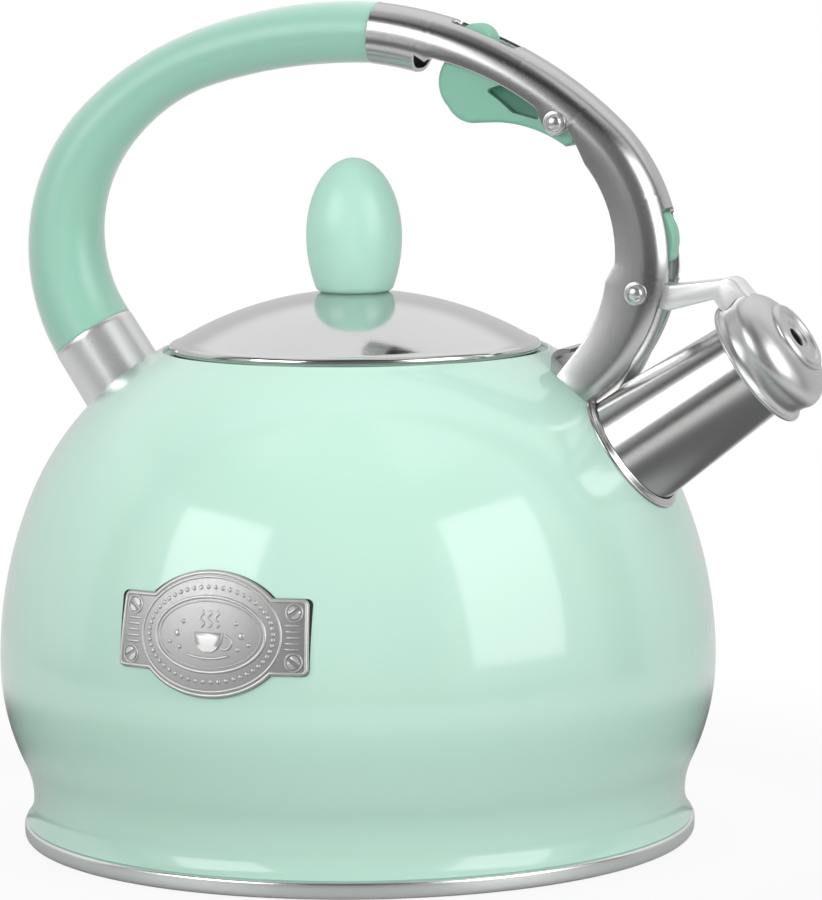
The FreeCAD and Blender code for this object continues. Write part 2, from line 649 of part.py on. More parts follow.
def make_pin(pivot):
    """A rivet across the channel: shank, a flat collar each side and a domed head."""
    half = CHANNEL_W / 2
    pin = disc(pivot, PIN_R, half)
    for side in (-1, 1):
        collar = Part.makeCylinder(3.2, 0.35, point(pivot, side * half), V(0, side, 0))
        dome = Part.makeSphere(2.6, point(pivot, side * (half - 1.0)))
        dome = dome.common(Part.makeCylinder(2.2, 3, point(pivot, side * half), V(0, side, 0)))
        pin = pin.fuse(collar).fuse(dome)
    return pin


# ---- nameplate ---------------------------------------------------------------------------------------

def plate_prism():
    """The plate's front view, cut through the near wall: an oval with a square ear at each side."""
    corner = V(PLATE_X - PLATE_HALF_L, -120, PLATE_Z - PLATE_EAR_H)
    ears = Part.makeBox(2 * PLATE_HALF_L, 60, 2 * PLATE_EAR_H, corner)
    upright = [e for e in ears.Edges if abs(e.BoundBox.YLength - 60) < 0.01]
    ears = ears.makeFillet(1.6, upright)
    middle = V(PLATE_X, -120, PLATE_Z)
    oval = Part.Ellipse(middle + V(PLATE_OVAL[0], 0, 0), middle + V(0, 0, PLATE_OVAL[1]), middle)
    oval = Part.Face(Part.Wire(oval.toShape())).extrude(V(0, 60, 0))
    return ears.fuse(oval)


def make_nameplate():
    return skin_solid(TAPE_T + PLATE_T).cut(skin_solid(TAPE_T)).common(plate_prism())


def make_nameplate_tape():
    return skin_solid(TAPE_T).cut(skin_solid(0)).common(plate_prism())


# ---- all the pieces ----------------------------------------------------------------------------------

PIECES = {
    "body_shell": make_body_shell,
    "base_pan": make_base_pan,
    "heat_spreader": make_heat_spreader,
    "induction_plate": make_induction_plate,
    "neck_ring": make_neck_ring,
    "spout_tube": make_spout_tube,
    "spout_flange": make_spout_flange,
    "handle_shell": make_handle_shell,
    "front_plug": make_front_plug,
    "front_bracket": make_front_bracket,
    "grip": make_grip,
    "grip_core": make_grip_core,
    "rear_ferrule": make_rear_ferrule,
    "rear_foot": make_rear_foot,
    "trigger_pin": lambda: make_pin(TRIGGER_PIVOT),
    "cap_pin": lambda: make_pin(CAP_PIVOT),
    "nameplate": make_nameplate,
    "nameplate_tape": make_nameplate_tape,
    "lid_dome": make_lid_dome,
    "lid_skirt": make_lid_skirt,
    "knob": make_knob,
    "knob_insert": make_knob_insert,
    "knob_screw": make_knob_screw,
    "knob_washer": make_knob_washer,
    "trigger": make_trigger,
    "cap_arm": make_cap_arm,
    "cap_shell": make_cap_shell,
    "whistle_face": make_whistle_face,
    "whistle_plate": make_whistle_plate,
    "cap_spring": make_cap_spring,
}

os.makedirs("parts", exist_ok=True)
for name, maker in PIECES.items():
    save(name, maker())
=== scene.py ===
"""The looks of a stovetop whistling kettle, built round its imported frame. Lengths here are in millimetres,
in the frame's own axes (+Z up, +X towards the spout), and become metres as each mesh is made."""
import json
import math

import bmesh
import bpy
from mathutils import Matrix, Vector


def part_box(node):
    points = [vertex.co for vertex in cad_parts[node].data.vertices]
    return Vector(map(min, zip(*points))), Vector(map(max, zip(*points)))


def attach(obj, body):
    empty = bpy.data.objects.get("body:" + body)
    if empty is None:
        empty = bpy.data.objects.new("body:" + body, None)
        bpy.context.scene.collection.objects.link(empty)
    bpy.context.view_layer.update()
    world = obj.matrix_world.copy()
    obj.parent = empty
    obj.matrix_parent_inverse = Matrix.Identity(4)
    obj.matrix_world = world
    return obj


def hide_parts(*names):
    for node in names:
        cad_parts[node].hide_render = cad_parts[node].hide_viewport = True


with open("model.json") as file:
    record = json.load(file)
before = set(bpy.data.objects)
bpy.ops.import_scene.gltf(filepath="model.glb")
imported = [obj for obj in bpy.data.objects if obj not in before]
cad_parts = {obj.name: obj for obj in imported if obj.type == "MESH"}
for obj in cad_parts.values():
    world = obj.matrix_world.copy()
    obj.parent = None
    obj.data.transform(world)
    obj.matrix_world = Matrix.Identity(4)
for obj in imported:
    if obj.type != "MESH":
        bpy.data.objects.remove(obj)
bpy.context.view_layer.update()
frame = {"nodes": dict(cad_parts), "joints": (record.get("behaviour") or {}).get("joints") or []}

MM = 0.001


def low(node):
    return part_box(node)[0] / MM


def high(node):
    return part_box(node)[1] / MM


def joint_place(name):
    joint = next(j for j in frame["joints"] if j["name"] == name)
    return joint["pos_m"][0] / MM, joint["pos_m"][2] / MM


# ---- sizes, from the frame where it holds them -------------------------------------------------------

BELLY_R, BELLY_Z = high("body_shell").x, 50.0
WAIST_R, WAIST_Z = 91.3, 11.5
BELLY_LOW_ARC, BELLY_HIGH_ARC, BELLY_HIGH_SWEEP, SHOULDER_ARC = 64.2, 119.0, 22.2, 82.0
SHOULDER_TOP_R, FLARE_ARC, FLARE_Z = 54.6, 9.0, 5.6
SKIN = 0.8
SEAT_R, SEAT_Z, NECK_R = 53.4, 134.6, 45.6
RIM_OUT_R, RIM_IN_R, RIM_LOW_Z, FLOOR_Z = high("base_pan").x, 90.3, low("base_pan").z, 4.2

LID_TOP_Z, LID_BALL_R, LID_SHEET = high("lid_dome").z, 96.6, 0.7
LID_BEAD_T = 1.4
LID_BEAD_R, LID_BEAD_Z = high("lid_dome").x - LID_BEAD_T, low("lid_dome").z + LID_BEAD_T
KNOB_R, KNOB_TOP_Z, KNOB_BELLY_Z, KNOB_LOW_AXIS = high("knob").x, high("knob").z, 167.5, 24.5

SPOUT_ROOT, SPOUT_TILT = (86.3, 114.2), 34.5
SPOUT_ROOT_R, SPOUT_TAPER, SPOUT_SHEET, SPOUT_TIP_S = 16.15, 0.0657, 0.8, 41.0
CAP_RIM_S, CAP_RIM_R, FACE_R = 36.6, 17.6, 10.3

CHANNEL_START, CHANNEL_HEADING = (5.23, 231.94), -4.75
CHANNEL_ARCS = ((120.46, 38.2), (52.62, 67.6), (47.44, 46.0))
CHANNEL_W, CHANNEL_CORNER, CHANNEL_SHEET, TUBE_H = 2 * high("handle_shell").y, 7.4, 1.1, 16.7
WALL_LEAN, JOINT_X, TUBE_END_X = 9.0, 7.7, 20.0
TOP_SLOT_X, TOP_SLOT_HALF = (30.5, 49.5), 4.4
FRONT_SLOT_Z, FRONT_SLOT_HALF = 176.6, 5.0

GRIP_START, GRIP_HEADING = (7.7, 223.5), 2.6
GRIP_ARCS = ((147.8, 20.3), (73.0, 30.7), (47.1, 75.5))
GRIP_RADII = ((0.0, 8.45), (0.12, 8.5), (0.26, 8.25), (0.4, 7.9), (0.52, 8.35), (0.66, 9.65), (0.82, 10.9),
              (1.0, 12.1))
FERRULE_L, FERRULE_FOOT_R, FERRULE_SHEET = 24.0, 12.5, 1.0

TRIGGER_PIVOT, CAP_PIVOT = joint_place("trigger_squeeze"), joint_place("cap_tip")
PIN_R, PIN_HOLE_R = 2.0, 2.05
LEVER_BAR, LEVER_BAR_R, ARM_HALF_W, ARM_SHEET = (86.5, 162.8), 1.3, high("cap_arm").y, 0.8

PLATE_X, PLATE_Z = ((low("nameplate")[k] + high("nameplate")[k]) / 2 for k in (0, 2))
PLATE_HALF_L, PLATE_EAR_H, PLATE_OVAL = 27.4, 9.9, (21.8, 16.4)
TAPE_T, PLATE_T = 0.25, 1.0


# ---- outlines ----------------------------------------------------------------------------------------

def on_arc(centre, radius, degrees):
    a = math.radians(degrees)
    return centre[0] + radius * math.cos(a), centre[1] + radius * math.sin(a)


def arc(centre, radius, start, end, steps):
    return [on_arc(centre, radius, start + (end - start) * i / steps) for i in range(steps + 1)]


def arc_through(a, b, c, steps=8):
    """Points on the circle through three points, from a to c by way of b."""
    (ax, ay), (bx, by), (cx, cy) = a, b, c
    d = 2 * (ax * (by - cy) + bx * (cy - ay) + cx * (ay - by))
    ux = ((ax**2 + ay**2) * (by - cy) + (bx**2 + by**2) * (cy - ay) + (cx**2 + cy**2) * (ay - by)) / d
    uy = ((ax**2 + ay**2) * (cx - bx) + (bx**2 + by**2) * (ax - cx) + (cx**2 + cy**2) * (bx - ax)) / d
    first, mid, last = (math.atan2(p[1] - uy, p[0] - ux) for p in (a, b, c))
    sweep = (last - first) % (2 * math.pi)
    if (mid - first) % (2 * math.pi) > sweep:
        sweep -= 2 * math.pi
    radius = math.hypot(ax - ux, ay - uy)
    return arc((ux, uy), radius, math.degrees(first), math.degrees(first + sweep), steps)


def outline(start, *steps):
    """An open line of points. A step is a point, or (through, end) for an arc, as in the design."""
    points = [start]
    for step in steps:
        if isinstance(step[0], tuple):
            points += arc_through(points[-1], *step, steps=12)[1:]
        else:
            points.append(step)
    return points


def rounded(corners, steps=6):
    """A closed outline. A corner is (x, z), kept sharp, or (x, z, radius)."""
    points, n = [], len(corners)
    for i, corner in enumerate(corners):
        here = Vector(corner[:2])
        if len(corner) == 2:
            points.append(tuple(here))
            continue
        to_a = (Vector(corners[i - 1][:2]) - here).normalized()
        to_b = (Vector(corners[(i + 1) % n][:2]) - here).normalized()
        half = to_a.angle(to_b) / 2
        reach = corner[2] / math.tan(half)
        centre = here + (to_a + to_b).normalized() * corner[2] / math.sin(half)
        first, last = here + to_a * reach - centre, here + to_b * reach - centre
        a = math.degrees(math.atan2(first.y, first.x))
        turn = (math.degrees(math.atan2(last.y, last.x)) - a + 180) % 360 - 180
        points += arc(tuple(centre), corner[2], a, a + turn, steps)
    return points


def smooth(points, steps=6):
    """A Catmull-Rom line through an open list of points."""
    ends = [Vector(points[0]) * 2 - Vector(points[1]), *map(Vector, points),
            Vector(points[-1]) * 2 - Vector(points[-2])]
    line = []
    for a, b, c, d in zip(ends, ends[1:], ends[2:], ends[3:]):
        for i in range(steps):
            t = i / steps
            line.append(tuple(0.5 * (2 * b + (c - a) * t + (2 * a - 5 * b + 4 * c - d) * t**2
                                     + (3 * b - a - 3 * c + d) * t**3)))
    return line + [tuple(points[-1])]


# ---- meshes ------------------------------------------------------------------------------------------

def finish_mesh(obj, sharp=40.0):
    obj.data.polygons.foreach_set("use_smooth", [True] * len(obj.data.polygons))
    obj.data.set_sharp_from_angle(angle=math.radians(sharp))
    return obj


def mesh_object(name, verts, faces):
    """A mesh from points in millimetres, with its normals made consistent."""
    mesh = bpy.data.meshes.new(name)
    mesh.from_pydata([Vector(v) * MM for v in verts], [], faces)
    obj = bpy.data.objects.new(name, mesh)
    bpy.context.scene.collection.objects.link(obj)
    bm = bmesh.new()
    bm.from_mesh(mesh)
    bmesh.ops.remove_doubles(bm, verts=bm.verts, dist=1e-6)
    bmesh.ops.recalc_face_normals(bm, faces=bm.faces)
    bm.to_mesh(mesh)
    bm.free()
    return obj


def turns(count):
    """Evenly spaced angles once round."""
    return [2 * math.pi * i / count for i in range(count)]


def ring_grid(rings, closed_rings=True, closed_line=False):
    """Quads between equal rows of points. rings join their ends; closed_line joins the last row to
    the first."""
    n = len(rings[0])
    verts = [p for ring in rings for p in ring]
    faces = []
    for i in range(len(rings) - (0 if closed_line else 1)):
        a, b = i * n, (i + 1) % len(rings) * n
        for j in range(n - (0 if closed_rings else 1)):
            k = (j + 1) % n
            faces.append((a + j, a + k, b + k, b + j))
    return verts, faces


def lathe(name, profile, place=None, segments=192):
    """Turns a closed (radius, height) outline about Z; place moves the result, in millimetres."""
    rings = []
    for i in range(segments):
        a = 2 * math.pi * i / segments
        ring = [Vector((r * math.cos(a), r * math.sin(a), z)) for r, z in profile]
        rings.append([place @ p for p in ring] if place else ring)
    return mesh_object(name, *ring_grid(rings, closed_rings=True, closed_line=True))


def prism(name, points, half_width, bevel, steps=3, shift=0.0):
    """Extrudes a closed XZ outline each side of y = shift, with its two rims rounded."""
    n = len(points)
    verts = [(x, shift + side * half_width, z) for side in (-1, 1) for x, z in points]
    faces = [tuple(range(n)), tuple(range(n, 2 * n))]
    faces += [(i, (i + 1) % n, n + (i + 1) % n, n + i) for i in range(n)]
    obj = mesh_object(name, verts, faces)
    if bevel:
        bm = bmesh.new()
        bm.from_mesh(obj.data)
        rims = [e for e in bm.edges if abs(e.verts[0].co.y - e.verts[1].co.y) < 1e-7]
        bmesh.ops.bevel(bm, geom=rims, offset=bevel * MM, segments=steps, profile=0.5, affect="EDGES")
        bm.to_mesh(obj.data)
        bm.free()
    return obj


def bar(name, centre, radius, half_width, shift=0.0, segments=48):
    """A round bar along Y."""
    return prism(name, arc(centre, radius, 0, 360, segments)[:-1], half_width, 0, shift=shift)


def applied(obj):
    """Replaces an object's mesh with its mesh after modifiers."""
    graph = bpy.context.evaluated_depsgraph_get()
    mesh = bpy.data.meshes.new_from_object(obj.evaluated_get(graph))
    obj.modifiers.clear()
    obj.data = mesh
    return obj


def combine(obj, operation, *others):
    for other in others:
        step = obj.modifiers.new(operation.title(), "BOOLEAN")
        step.operation, step.solver, step.object = operation, "EXACT", other
        applied(obj)
        bpy.data.objects.remove(other)
    return obj


def show(obj, body, slot, material, *nodes, sharp=40.0):
    """Puts a finished piece on its body, with its material, in place of its CAD nodes."""
    finish_mesh(obj, sharp)
    obj.data.materials.clear()
    obj.data.materials.append(material)
    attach(obj, body)
    if nodes:
        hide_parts(*nodes)
    return obj


# ---- materials ---------------------------------------------------------------------------------------

class Paint:
    """A small node tree: a Principled surface and the few nodes that vary it."""

    def __init__(self, name, color, metallic, roughness, **sockets):
        self.material = bpy.data.materials.new(name)
        self.material.use_nodes = True
        self.nodes, self.links = self.material.node_tree.nodes, self.material.node_tree.links
        self.surface = self.nodes["Principled BSDF"]
        self.color = color
        values = {"Base Color": (*color, 1), "Metallic": metallic, "Roughness": roughness}
        values.update({key.replace("_", " "): value for key, value in sockets.items()})
        for key, value in values.items():
            self.surface.inputs[key].default_value = value
        self.place = self.nodes.new("ShaderNodeTexCoord").outputs["Object"]
        self.bumped = None

    def node(self, kind, **settings):
        node = self.nodes.new(kind)
        for key, value in settings.items():
            if key in node.inputs:
                node.inputs[key].default_value = value
            else:
                setattr(node, key, value)
        return node

    def link(self, a, b):
        self.links.new(a, b)

    def stretched(self, scale, turn=(0, 0, 0)):
        mapping = self.node("ShaderNodeMapping")
        mapping.inputs["Scale"].default_value = scale
        mapping.inputs["Rotation"].default_value = [math.radians(a) for a in turn]
        self.link(self.place, mapping.inputs["Vector"])
        return mapping.outputs["Vector"]

    def around(self, scale):
        """(radius, height) as a vector, for marks that run round the Z axis."""
        split = self.node("ShaderNodeSeparateXYZ")
        flat = self.node("ShaderNodeCombineXYZ")
        length = self.node("ShaderNodeVectorMath", operation="LENGTH")
        out = self.node("ShaderNodeCombineXYZ")
        self.link(self.place, split.inputs[0])
        self.link(split.outputs["X"], flat.inputs["X"])
        self.link(split.outputs["Y"], flat.inputs["Y"])
        self.link(flat.outputs[0], length.inputs[0])
        self.link(length.outputs["Value"], out.inputs["X"])
        self.link(split.outputs["Z"], out.inputs["Y"])
        mapping = self.node("ShaderNodeMapping")
        mapping.inputs["Scale"].default_value = (scale, scale, 1)
        self.link(out.outputs[0], mapping.inputs["Vector"])
        return mapping.outputs["Vector"]

    def noise(self, vector, scale, detail=3.0, roughness=0.5):
        node = self.node("ShaderNodeTexNoise", Scale=scale, Detail=detail, Roughness=roughness)
        self.link(vector, node.inputs["Vector"])
        return node.outputs["Fac"]

    def spread(self, value, low_end, high_end):
        node = self.node("ShaderNodeMapRange")
        node.inputs["From Min"].default_value, node.inputs["From Max"].default_value = 0.3, 0.7
        node.inputs["To Min"].default_value, node.inputs["To Max"].default_value = low_end, high_end
        self.link(value, node.inputs["Value"])
        return node.outputs["Result"]

    def vary_roughness(self, value, low_end, high_end):
        self.link(self.spread(value, low_end, high_end), self.surface.inputs["Roughness"])

    def vary_color(self, value, other):
        mix = self.node("ShaderNodeMix", data_type="RGBA")
        mix.inputs["A"].default_value, mix.inputs["B"].default_value = (*self.color, 1), (*other, 1)
        self.link(self.spread(value, 0.0, 1.0), mix.inputs["Factor"])
        self.link(mix.outputs["Result"], self.surface.inputs["Base Color"])

    def bump(self, value, strength, depth_mm):
        node = self.node("ShaderNodeBump", Strength=strength, Distance=depth_mm * MM)
        self.link(value, node.inputs["Height"])
        if self.bumped:
            self.link(self.bumped, node.inputs["Normal"])
        self.bumped = node.outputs["Normal"]
        self.link(self.bumped, self.surface.inputs["Normal"])


def enamel():
    paint = Paint("mint_enamel", (0.545, 0.81, 0.69), 0.0, 0.16, Coat_Weight=1.0, Coat_Roughness=0.09,
                  Coat_IOR=1.5, Specular_IOR_Level=0.15)
    broad = paint.noise(paint.place, 9.0)
    paint.vary_color(broad, (0.555, 0.815, 0.70))
    paint.vary_roughness(paint.noise(paint.place, 60.0), 0.13, 0.2)
    paint.bump(paint.noise(paint.place, 260.0, detail=2.0), 0.03, 0.05)
    return paint.material


def soft_touch(name, color, other, roughness=0.42, sheen=0.0):
    paint = Paint(name, color, 0.0, roughness, Coat_Weight=0.3, Coat_Roughness=0.3, Sheen_Weight=sheen,
                  Sheen_Roughness=0.5)
    paint.vary_color(paint.noise(paint.place, 40.0), other)
    paint.vary_roughness(paint.noise(paint.place, 180.0), roughness - 0.05, roughness + 0.07)
    paint.bump(paint.noise(paint.place, 3800.0, detail=2.0), 0.18, 0.03)
    return paint.material


def trigger_mint():
    """The grip's plastic, darker down in the hollow: painted shade."""
    paint = Paint("trigger_mint", (0.25, 0.54, 0.405), 0.0, 0.45, Coat_Weight=0.2, Coat_Roughness=0.35)
    # painted shade: the plastic is mixed towards a dark green down in the hollow, by a point attribute on
    # the trigger's mesh
    painted_shade = paint.node("ShaderNodeAttribute", attribute_name="painted_shade")
    mix = paint.node("ShaderNodeMix", data_type="RGBA")
    mix.inputs["A"].default_value = (0.25, 0.54, 0.405, 1)
    # painted shade: the dark colour at the bottom of the trigger's hollow
    mix.inputs["B"].default_value = (0.06, 0.22, 0.15, 1)
    paint.link(painted_shade.outputs["Fac"], mix.inputs["Factor"])
    paint.link(mix.outputs["Result"], paint.surface.inputs["Base Color"])
    paint.vary_roughness(paint.noise(paint.place, 180.0), 0.4, 0.52)
    paint.bump(paint.noise(paint.place, 3800.0, detail=2.0), 0.18, 0.03)
    return paint.material


def polished(name, color=(0.80, 0.80, 0.80), roughness=0.07):
    """Mirror-bright steel with faint round polishing marks."""
    paint = Paint(name, color, 1.0, roughness)
    marks = paint.noise(paint.around(1.0), 2600.0, detail=4.0)
    paint.vary_roughness(marks, roughness - 0.03, roughness + 0.05)
    paint.vary_color(paint.noise(paint.place, 25.0), tuple(0.94 * c for c in color))
    paint.bump(marks, 0.04, 0.01)
    return paint.material


def brushed(name, stretch, turn=(0, 0, 0), color=(0.74, 0.735, 0.73), roughness=0.2, metallic=1.0):
    """Satin steel whose fine scratches run along the axis with the small stretch."""
    paint = Paint(name, color, metallic, roughness)
    lines = paint.noise(paint.stretched(stretch, turn), 4200.0, detail=3.0, roughness=0.6)
    paint.vary_roughness(lines, roughness - 0.03, roughness + 0.04)
    paint.vary_color(lines, tuple(0.92 * c for c in color))
    paint.bump(lines, 0.05, 0.01)
    return paint.material


def plain(name, color, metallic, roughness):
    paint = Paint(name, color, metallic, roughness)
    paint.vary_color(paint.noise(paint.place, 120.0), tuple(0.85 * c for c in color))
    paint.bump(paint.noise(paint.place, 1500.0), 0.08, 0.03)
    return paint.material


def patina(name):
    """Antique silver: the attribute 'relief' says how far a point stands up. The low field is
    darker."""
    paint = Paint(name, (0.16, 0.16, 0.16), 1.0, 0.36)
    relief = paint.node("ShaderNodeAttribute", attribute_name="relief")
    worn = paint.noise(paint.place, 2200.0, detail=3.0)
    mix = paint.node("ShaderNodeMix", data_type="RGBA")
    mix.inputs["A"].default_value = (0.5, 0.5, 0.5, 1)
    mix.inputs["B"].default_value = (0.8, 0.8, 0.79, 1)
    paint.link(relief.outputs["Fac"], mix.inputs["Factor"])
    paint.link(mix.outputs["Result"], paint.surface.inputs["Base Color"])
    paint.vary_roughness(worn, 0.4, 0.5)
    paint.bump(worn, 0.2, 0.03)
    return paint.material


ENAMEL = enamel()
GRIP = soft_touch("soft_touch_mint", (0.31, 0.61, 0.48), (0.325, 0.625, 0.495), 0.34, 1.0)
KNOB = soft_touch("knob_mint", (0.48, 0.80, 0.66), (0.495, 0.81, 0.675), 0.36)
TRIGGER = trigger_mint()
MIRROR = polished("polished_steel", (0.76, 0.76, 0.76), 0.11)
CHROME = polished("bright_steel", (0.85, 0.85, 0.85), 0.3)
RIM = polished("rim_steel", (1.0, 1.0, 1.0), 0.22)
SHELL = brushed("shell_steel", (1.0, 0.3, 1.0), color=(0.68, 0.68, 0.68), roughness=0.24)
CAP = brushed("cap_steel", (1.0, 1.0, 1.0), (0, SPOUT_TILT, 0), (0.72, 0.72, 0.72), 0.36, 0.95)
ARM = brushed("arm_steel", (1.0, 0.3, 1.0), (0, 0, 0), (0.96, 0.96, 0.96), 0.3, 0.6)
SPOUT = brushed("spout_steel", (0.04, 1.0, 1.0), (0, SPOUT_TILT, 0), roughness=0.2)
FERRULE = brushed("ferrule_steel", (1.0, 1.0, 0.04), (0, 38, 0), (0.86, 0.86, 0.86), 0.3, 0.75)
HIDDEN = brushed("inner_steel", (1.0, 1.0, 0.1), roughness=0.3)
BASE = polished("turned_steel", (0.62, 0.62, 0.61), 0.28)
ALUMINIUM = plain("cast_aluminium", (0.78, 0.78, 0.79), 1.0, 0.4)
NYLON = plain("black_nylon", (0.02, 0.02, 0.02), 0.0, 0.5)
BRASS = plain("insert_brass", (0.75, 0.55, 0.25), 1.0, 0.3)
TAPE = plain("adhesive_foam", (0.03, 0.03, 0.03), 0.0, 0.9)
PLATE = patina("antique_silver")


# ---- body --------------------------------------------------------------------------------------------

def skin_arcs():
    """The outer skin from the foot up, as (centre, radius, first angle, last angle, is hollow)."""
    belly_low = (BELLY_R - BELLY_LOW_ARC, BELLY_Z)
    run, rise = WAIST_R - belly_low[0], BELLY_Z - WAIST_Z
    waist_arc = (run**2 + rise**2 - BELLY_LOW_ARC**2) / (2 * (BELLY_LOW_ARC - run))
    waist = (WAIST_R + waist_arc, WAIST_Z)
    waist_sweep = math.degrees(math.atan2(rise, waist[0] - belly_low[0]))
    flare = (WAIST_R + FLARE_ARC, WAIST_Z)
    flare_sweep = math.degrees(math.asin((WAIST_Z - FLARE_Z) / FLARE_ARC))
    belly_high = (BELLY_R - BELLY_HIGH_ARC, BELLY_Z)
    shoulder = on_arc(belly_high, BELLY_HIGH_ARC - SHOULDER_ARC, BELLY_HIGH_SWEEP)
    top = math.degrees(math.acos((SHOULDER_TOP_R - shoulder[0]) / SHOULDER_ARC))
    return ((flare, FLARE_ARC, 180 + flare_sweep, 180, True),
            (waist, waist_arc, 180, 180 - waist_sweep, True),
            (belly_low, BELLY_LOW_ARC, -waist_sweep, 0, False),
            (belly_high, BELLY_HIGH_ARC, 0, BELLY_HIGH_SWEEP, False),
            (shoulder, SHOULDER_ARC, BELLY_HIGH_SWEEP, top, False))


def skin_line(inset, steps=22):
    line = []
    for centre, radius, a, b, hollow in skin_arcs():
        line += arc(centre, radius + inset if hollow else radius - inset, a, b, steps)[1 if line else 0:]
    return line


def skin_radius(z, grow=0.0):
    """The body's outer radius at a height."""
    for centre, radius, _, b, hollow in skin_arcs():
        size = radius - grow if hollow else radius + grow
        if z <= on_arc(centre, size, b)[1] or centre[1] > 60:
            reach = math.sqrt(max(size**2 - (z - centre[1])**2, 0.0))
            return centre[0] - reach if hollow else centre[0] + reach
    return 0.0


def skin_solid(name, grow):
    line = skin_line(-grow)
    return lathe(name, [(0, line[0][1])] + line + [(0, line[-1][1])])


def make_body():
    lip = outline(skin_line(0)[-1], ((SEAT_R + 0.55, 136.15), (SEAT_R, SEAT_Z + 0.9)))[1:]
    seat = rounded([(SEAT_R, SEAT_Z + 0.8), (SEAT_R, SEAT_Z, 0.35), (NECK_R, SEAT_Z, 0.3),
                    (NECK_R, SEAT_Z - SKIN, 0.3), (SEAT_R + SKIN, SEAT_Z - SKIN, 0.4),
                    (SEAT_R + SKIN, SEAT_Z + 0.3)])
    body = lathe("body_skin", skin_line(0) + lip + seat + skin_line(SKIN)[::-1], segments=288)
    mouth = lathe("cut", rounded([(0, -30), (SPOUT_ROOT_R - 2.4, -30), (SPOUT_ROOT_R - 2.4, 30), (0, 30)]),
                  spout_place())
    combine(body, "DIFFERENCE", mouth)
    return show(body, "kettle", "mint_enamel", ENAMEL, "body_shell")


def make_rim():
    profile = rounded([(0, FLOOR_Z), (RIM_IN_R, FLOOR_Z, 0.6), (RIM_IN_R, RIM_LOW_Z, 1.2),
                       (RIM_OUT_R, RIM_LOW_Z, 1.7), (RIM_OUT_R, 5.55, 0.9), (92.6, 5.05, 0.3),
                       (RIM_IN_R - 0.2, FLOOR_Z + 0.8, 0.4), (0, FLOOR_Z + 0.8)])
    return show(lathe("base_rim", profile, segments=256), "kettle", "base_steel", RIM, "base_pan")


# ---- lid and knob ------------------------------------------------------------------------------------

def make_lid():
    centre = (0, LID_TOP_Z - LID_BALL_R)
    edge = math.degrees(math.acos((LID_BEAD_R - 0.2) / LID_BALL_R))
    hole = math.degrees(math.acos(2.3 / LID_BALL_R))
    top = arc(centre, LID_BALL_R, hole, edge + 0.3, 48)
    bead = arc((LID_BEAD_R, LID_BEAD_Z), LID_BEAD_T, 75, -200, 28)
    under = arc(centre, LID_BALL_R - LID_SHEET, edge + 1.2, hole, 40)
    lid = lathe("lid_cover", top + bead + under, segments=256)
    return show(lid, "lid", "polished_steel", MIRROR, "lid_dome")


def make_knob():
    drop = [math.radians(a) for a in range(-43, 0, 3)]
    lower = [(KNOB_R * math.cos(a), KNOB_BELLY_Z + KNOB_LOW_AXIS * math.sin(a)) for a in drop]
    rise = [math.radians(a) for a in range(0, 91, 3)]
    upper = [(KNOB_R * math.cos(a), KNOB_BELLY_Z + (KNOB_TOP_Z - KNOB_BELLY_Z) * math.sin(a)) for a in rise]
    foot_r = lower[0][0]
    on_lid = LID_TOP_Z - LID_BALL_R + math.sqrt(LID_BALL_R**2 - foot_r**2)
    foot = [(3.5, 164.0), (3.5, LID_TOP_Z), (foot_r - 0.8, on_lid + 0.02), (foot_r - 0.1, on_lid + 0.25)]
    knob = lathe("knob_egg", [(0, 164.0)] + foot + [p for p in lower if p[1] > on_lid + 0.5] + upper,
                 segments=128)
    return show(knob, "lid", "grip_mint", KNOB, "knob")


# ---- spout and whistle cap ---------------------------------------------------------------------------

def spout_place():
    """Local Z onto the spout's axis, local X upwards in the plane of the handle."""
    turn = Matrix.Rotation(math.radians(90 - SPOUT_TILT), 4, "Y")
    return Matrix.Translation((SPOUT_ROOT[0], 0, SPOUT_ROOT[1])) @ turn


def spout_r(s):
    return SPOUT_ROOT_R - SPOUT_TAPER * s


def meets_skin(point_at, near, far, grow=0.0):
    """Where a line that starts inside the body comes out of its skin."""
    for _ in range(48):
        mid = (near + far) / 2
        p = point_at(mid)
        if math.hypot(p.x, p.y) < skin_radius(p.z, grow):
            near = mid
        else:
            far = mid
    return far


def make_spout():
    place, rings = spout_place(), []
    lip = [(SPOUT_TIP_S - 0.3, 0.0), (SPOUT_TIP_S, -0.25), (SPOUT_TIP_S, -0.55), (SPOUT_TIP_S - 0.3, -0.8)]
    for a in turns(144):
        def at(s, inset=0.0):
            r = spout_r(s) + inset
            return place @ Vector((r * math.cos(a), r * math.sin(a), s))
        root = meets_skin(at, -24, 24)
        inner_root = meets_skin(lambda s: at(s, -SPOUT_SHEET), -24, 24)
        steps = 24
        outer = [at(root + (SPOUT_TIP_S - 0.6 - root) * j / steps) for j in range(steps + 1)]
        inner = [at(SPOUT_TIP_S - 0.6 + (inner_root - SPOUT_TIP_S + 0.6) * j / steps, -SPOUT_SHEET)
                 for j in range(steps + 1)]
        rings.append(outer + [at(s, inset) for s, inset in lip] + inner)
    spout = mesh_object("spout_cone", *ring_grid(rings, True, True))
    return show(spout, "kettle", "brushed_steel", SPOUT, "spout_tube")


def skin_normal(p):
    step = 0.05
    slope = (skin_radius(p.z + step) - skin_radius(p.z - step)) / (2 * step)
    out = Vector((p.x, p.y, 0)).normalized()
    return (out - Vector((0, 0, slope))).normalized()


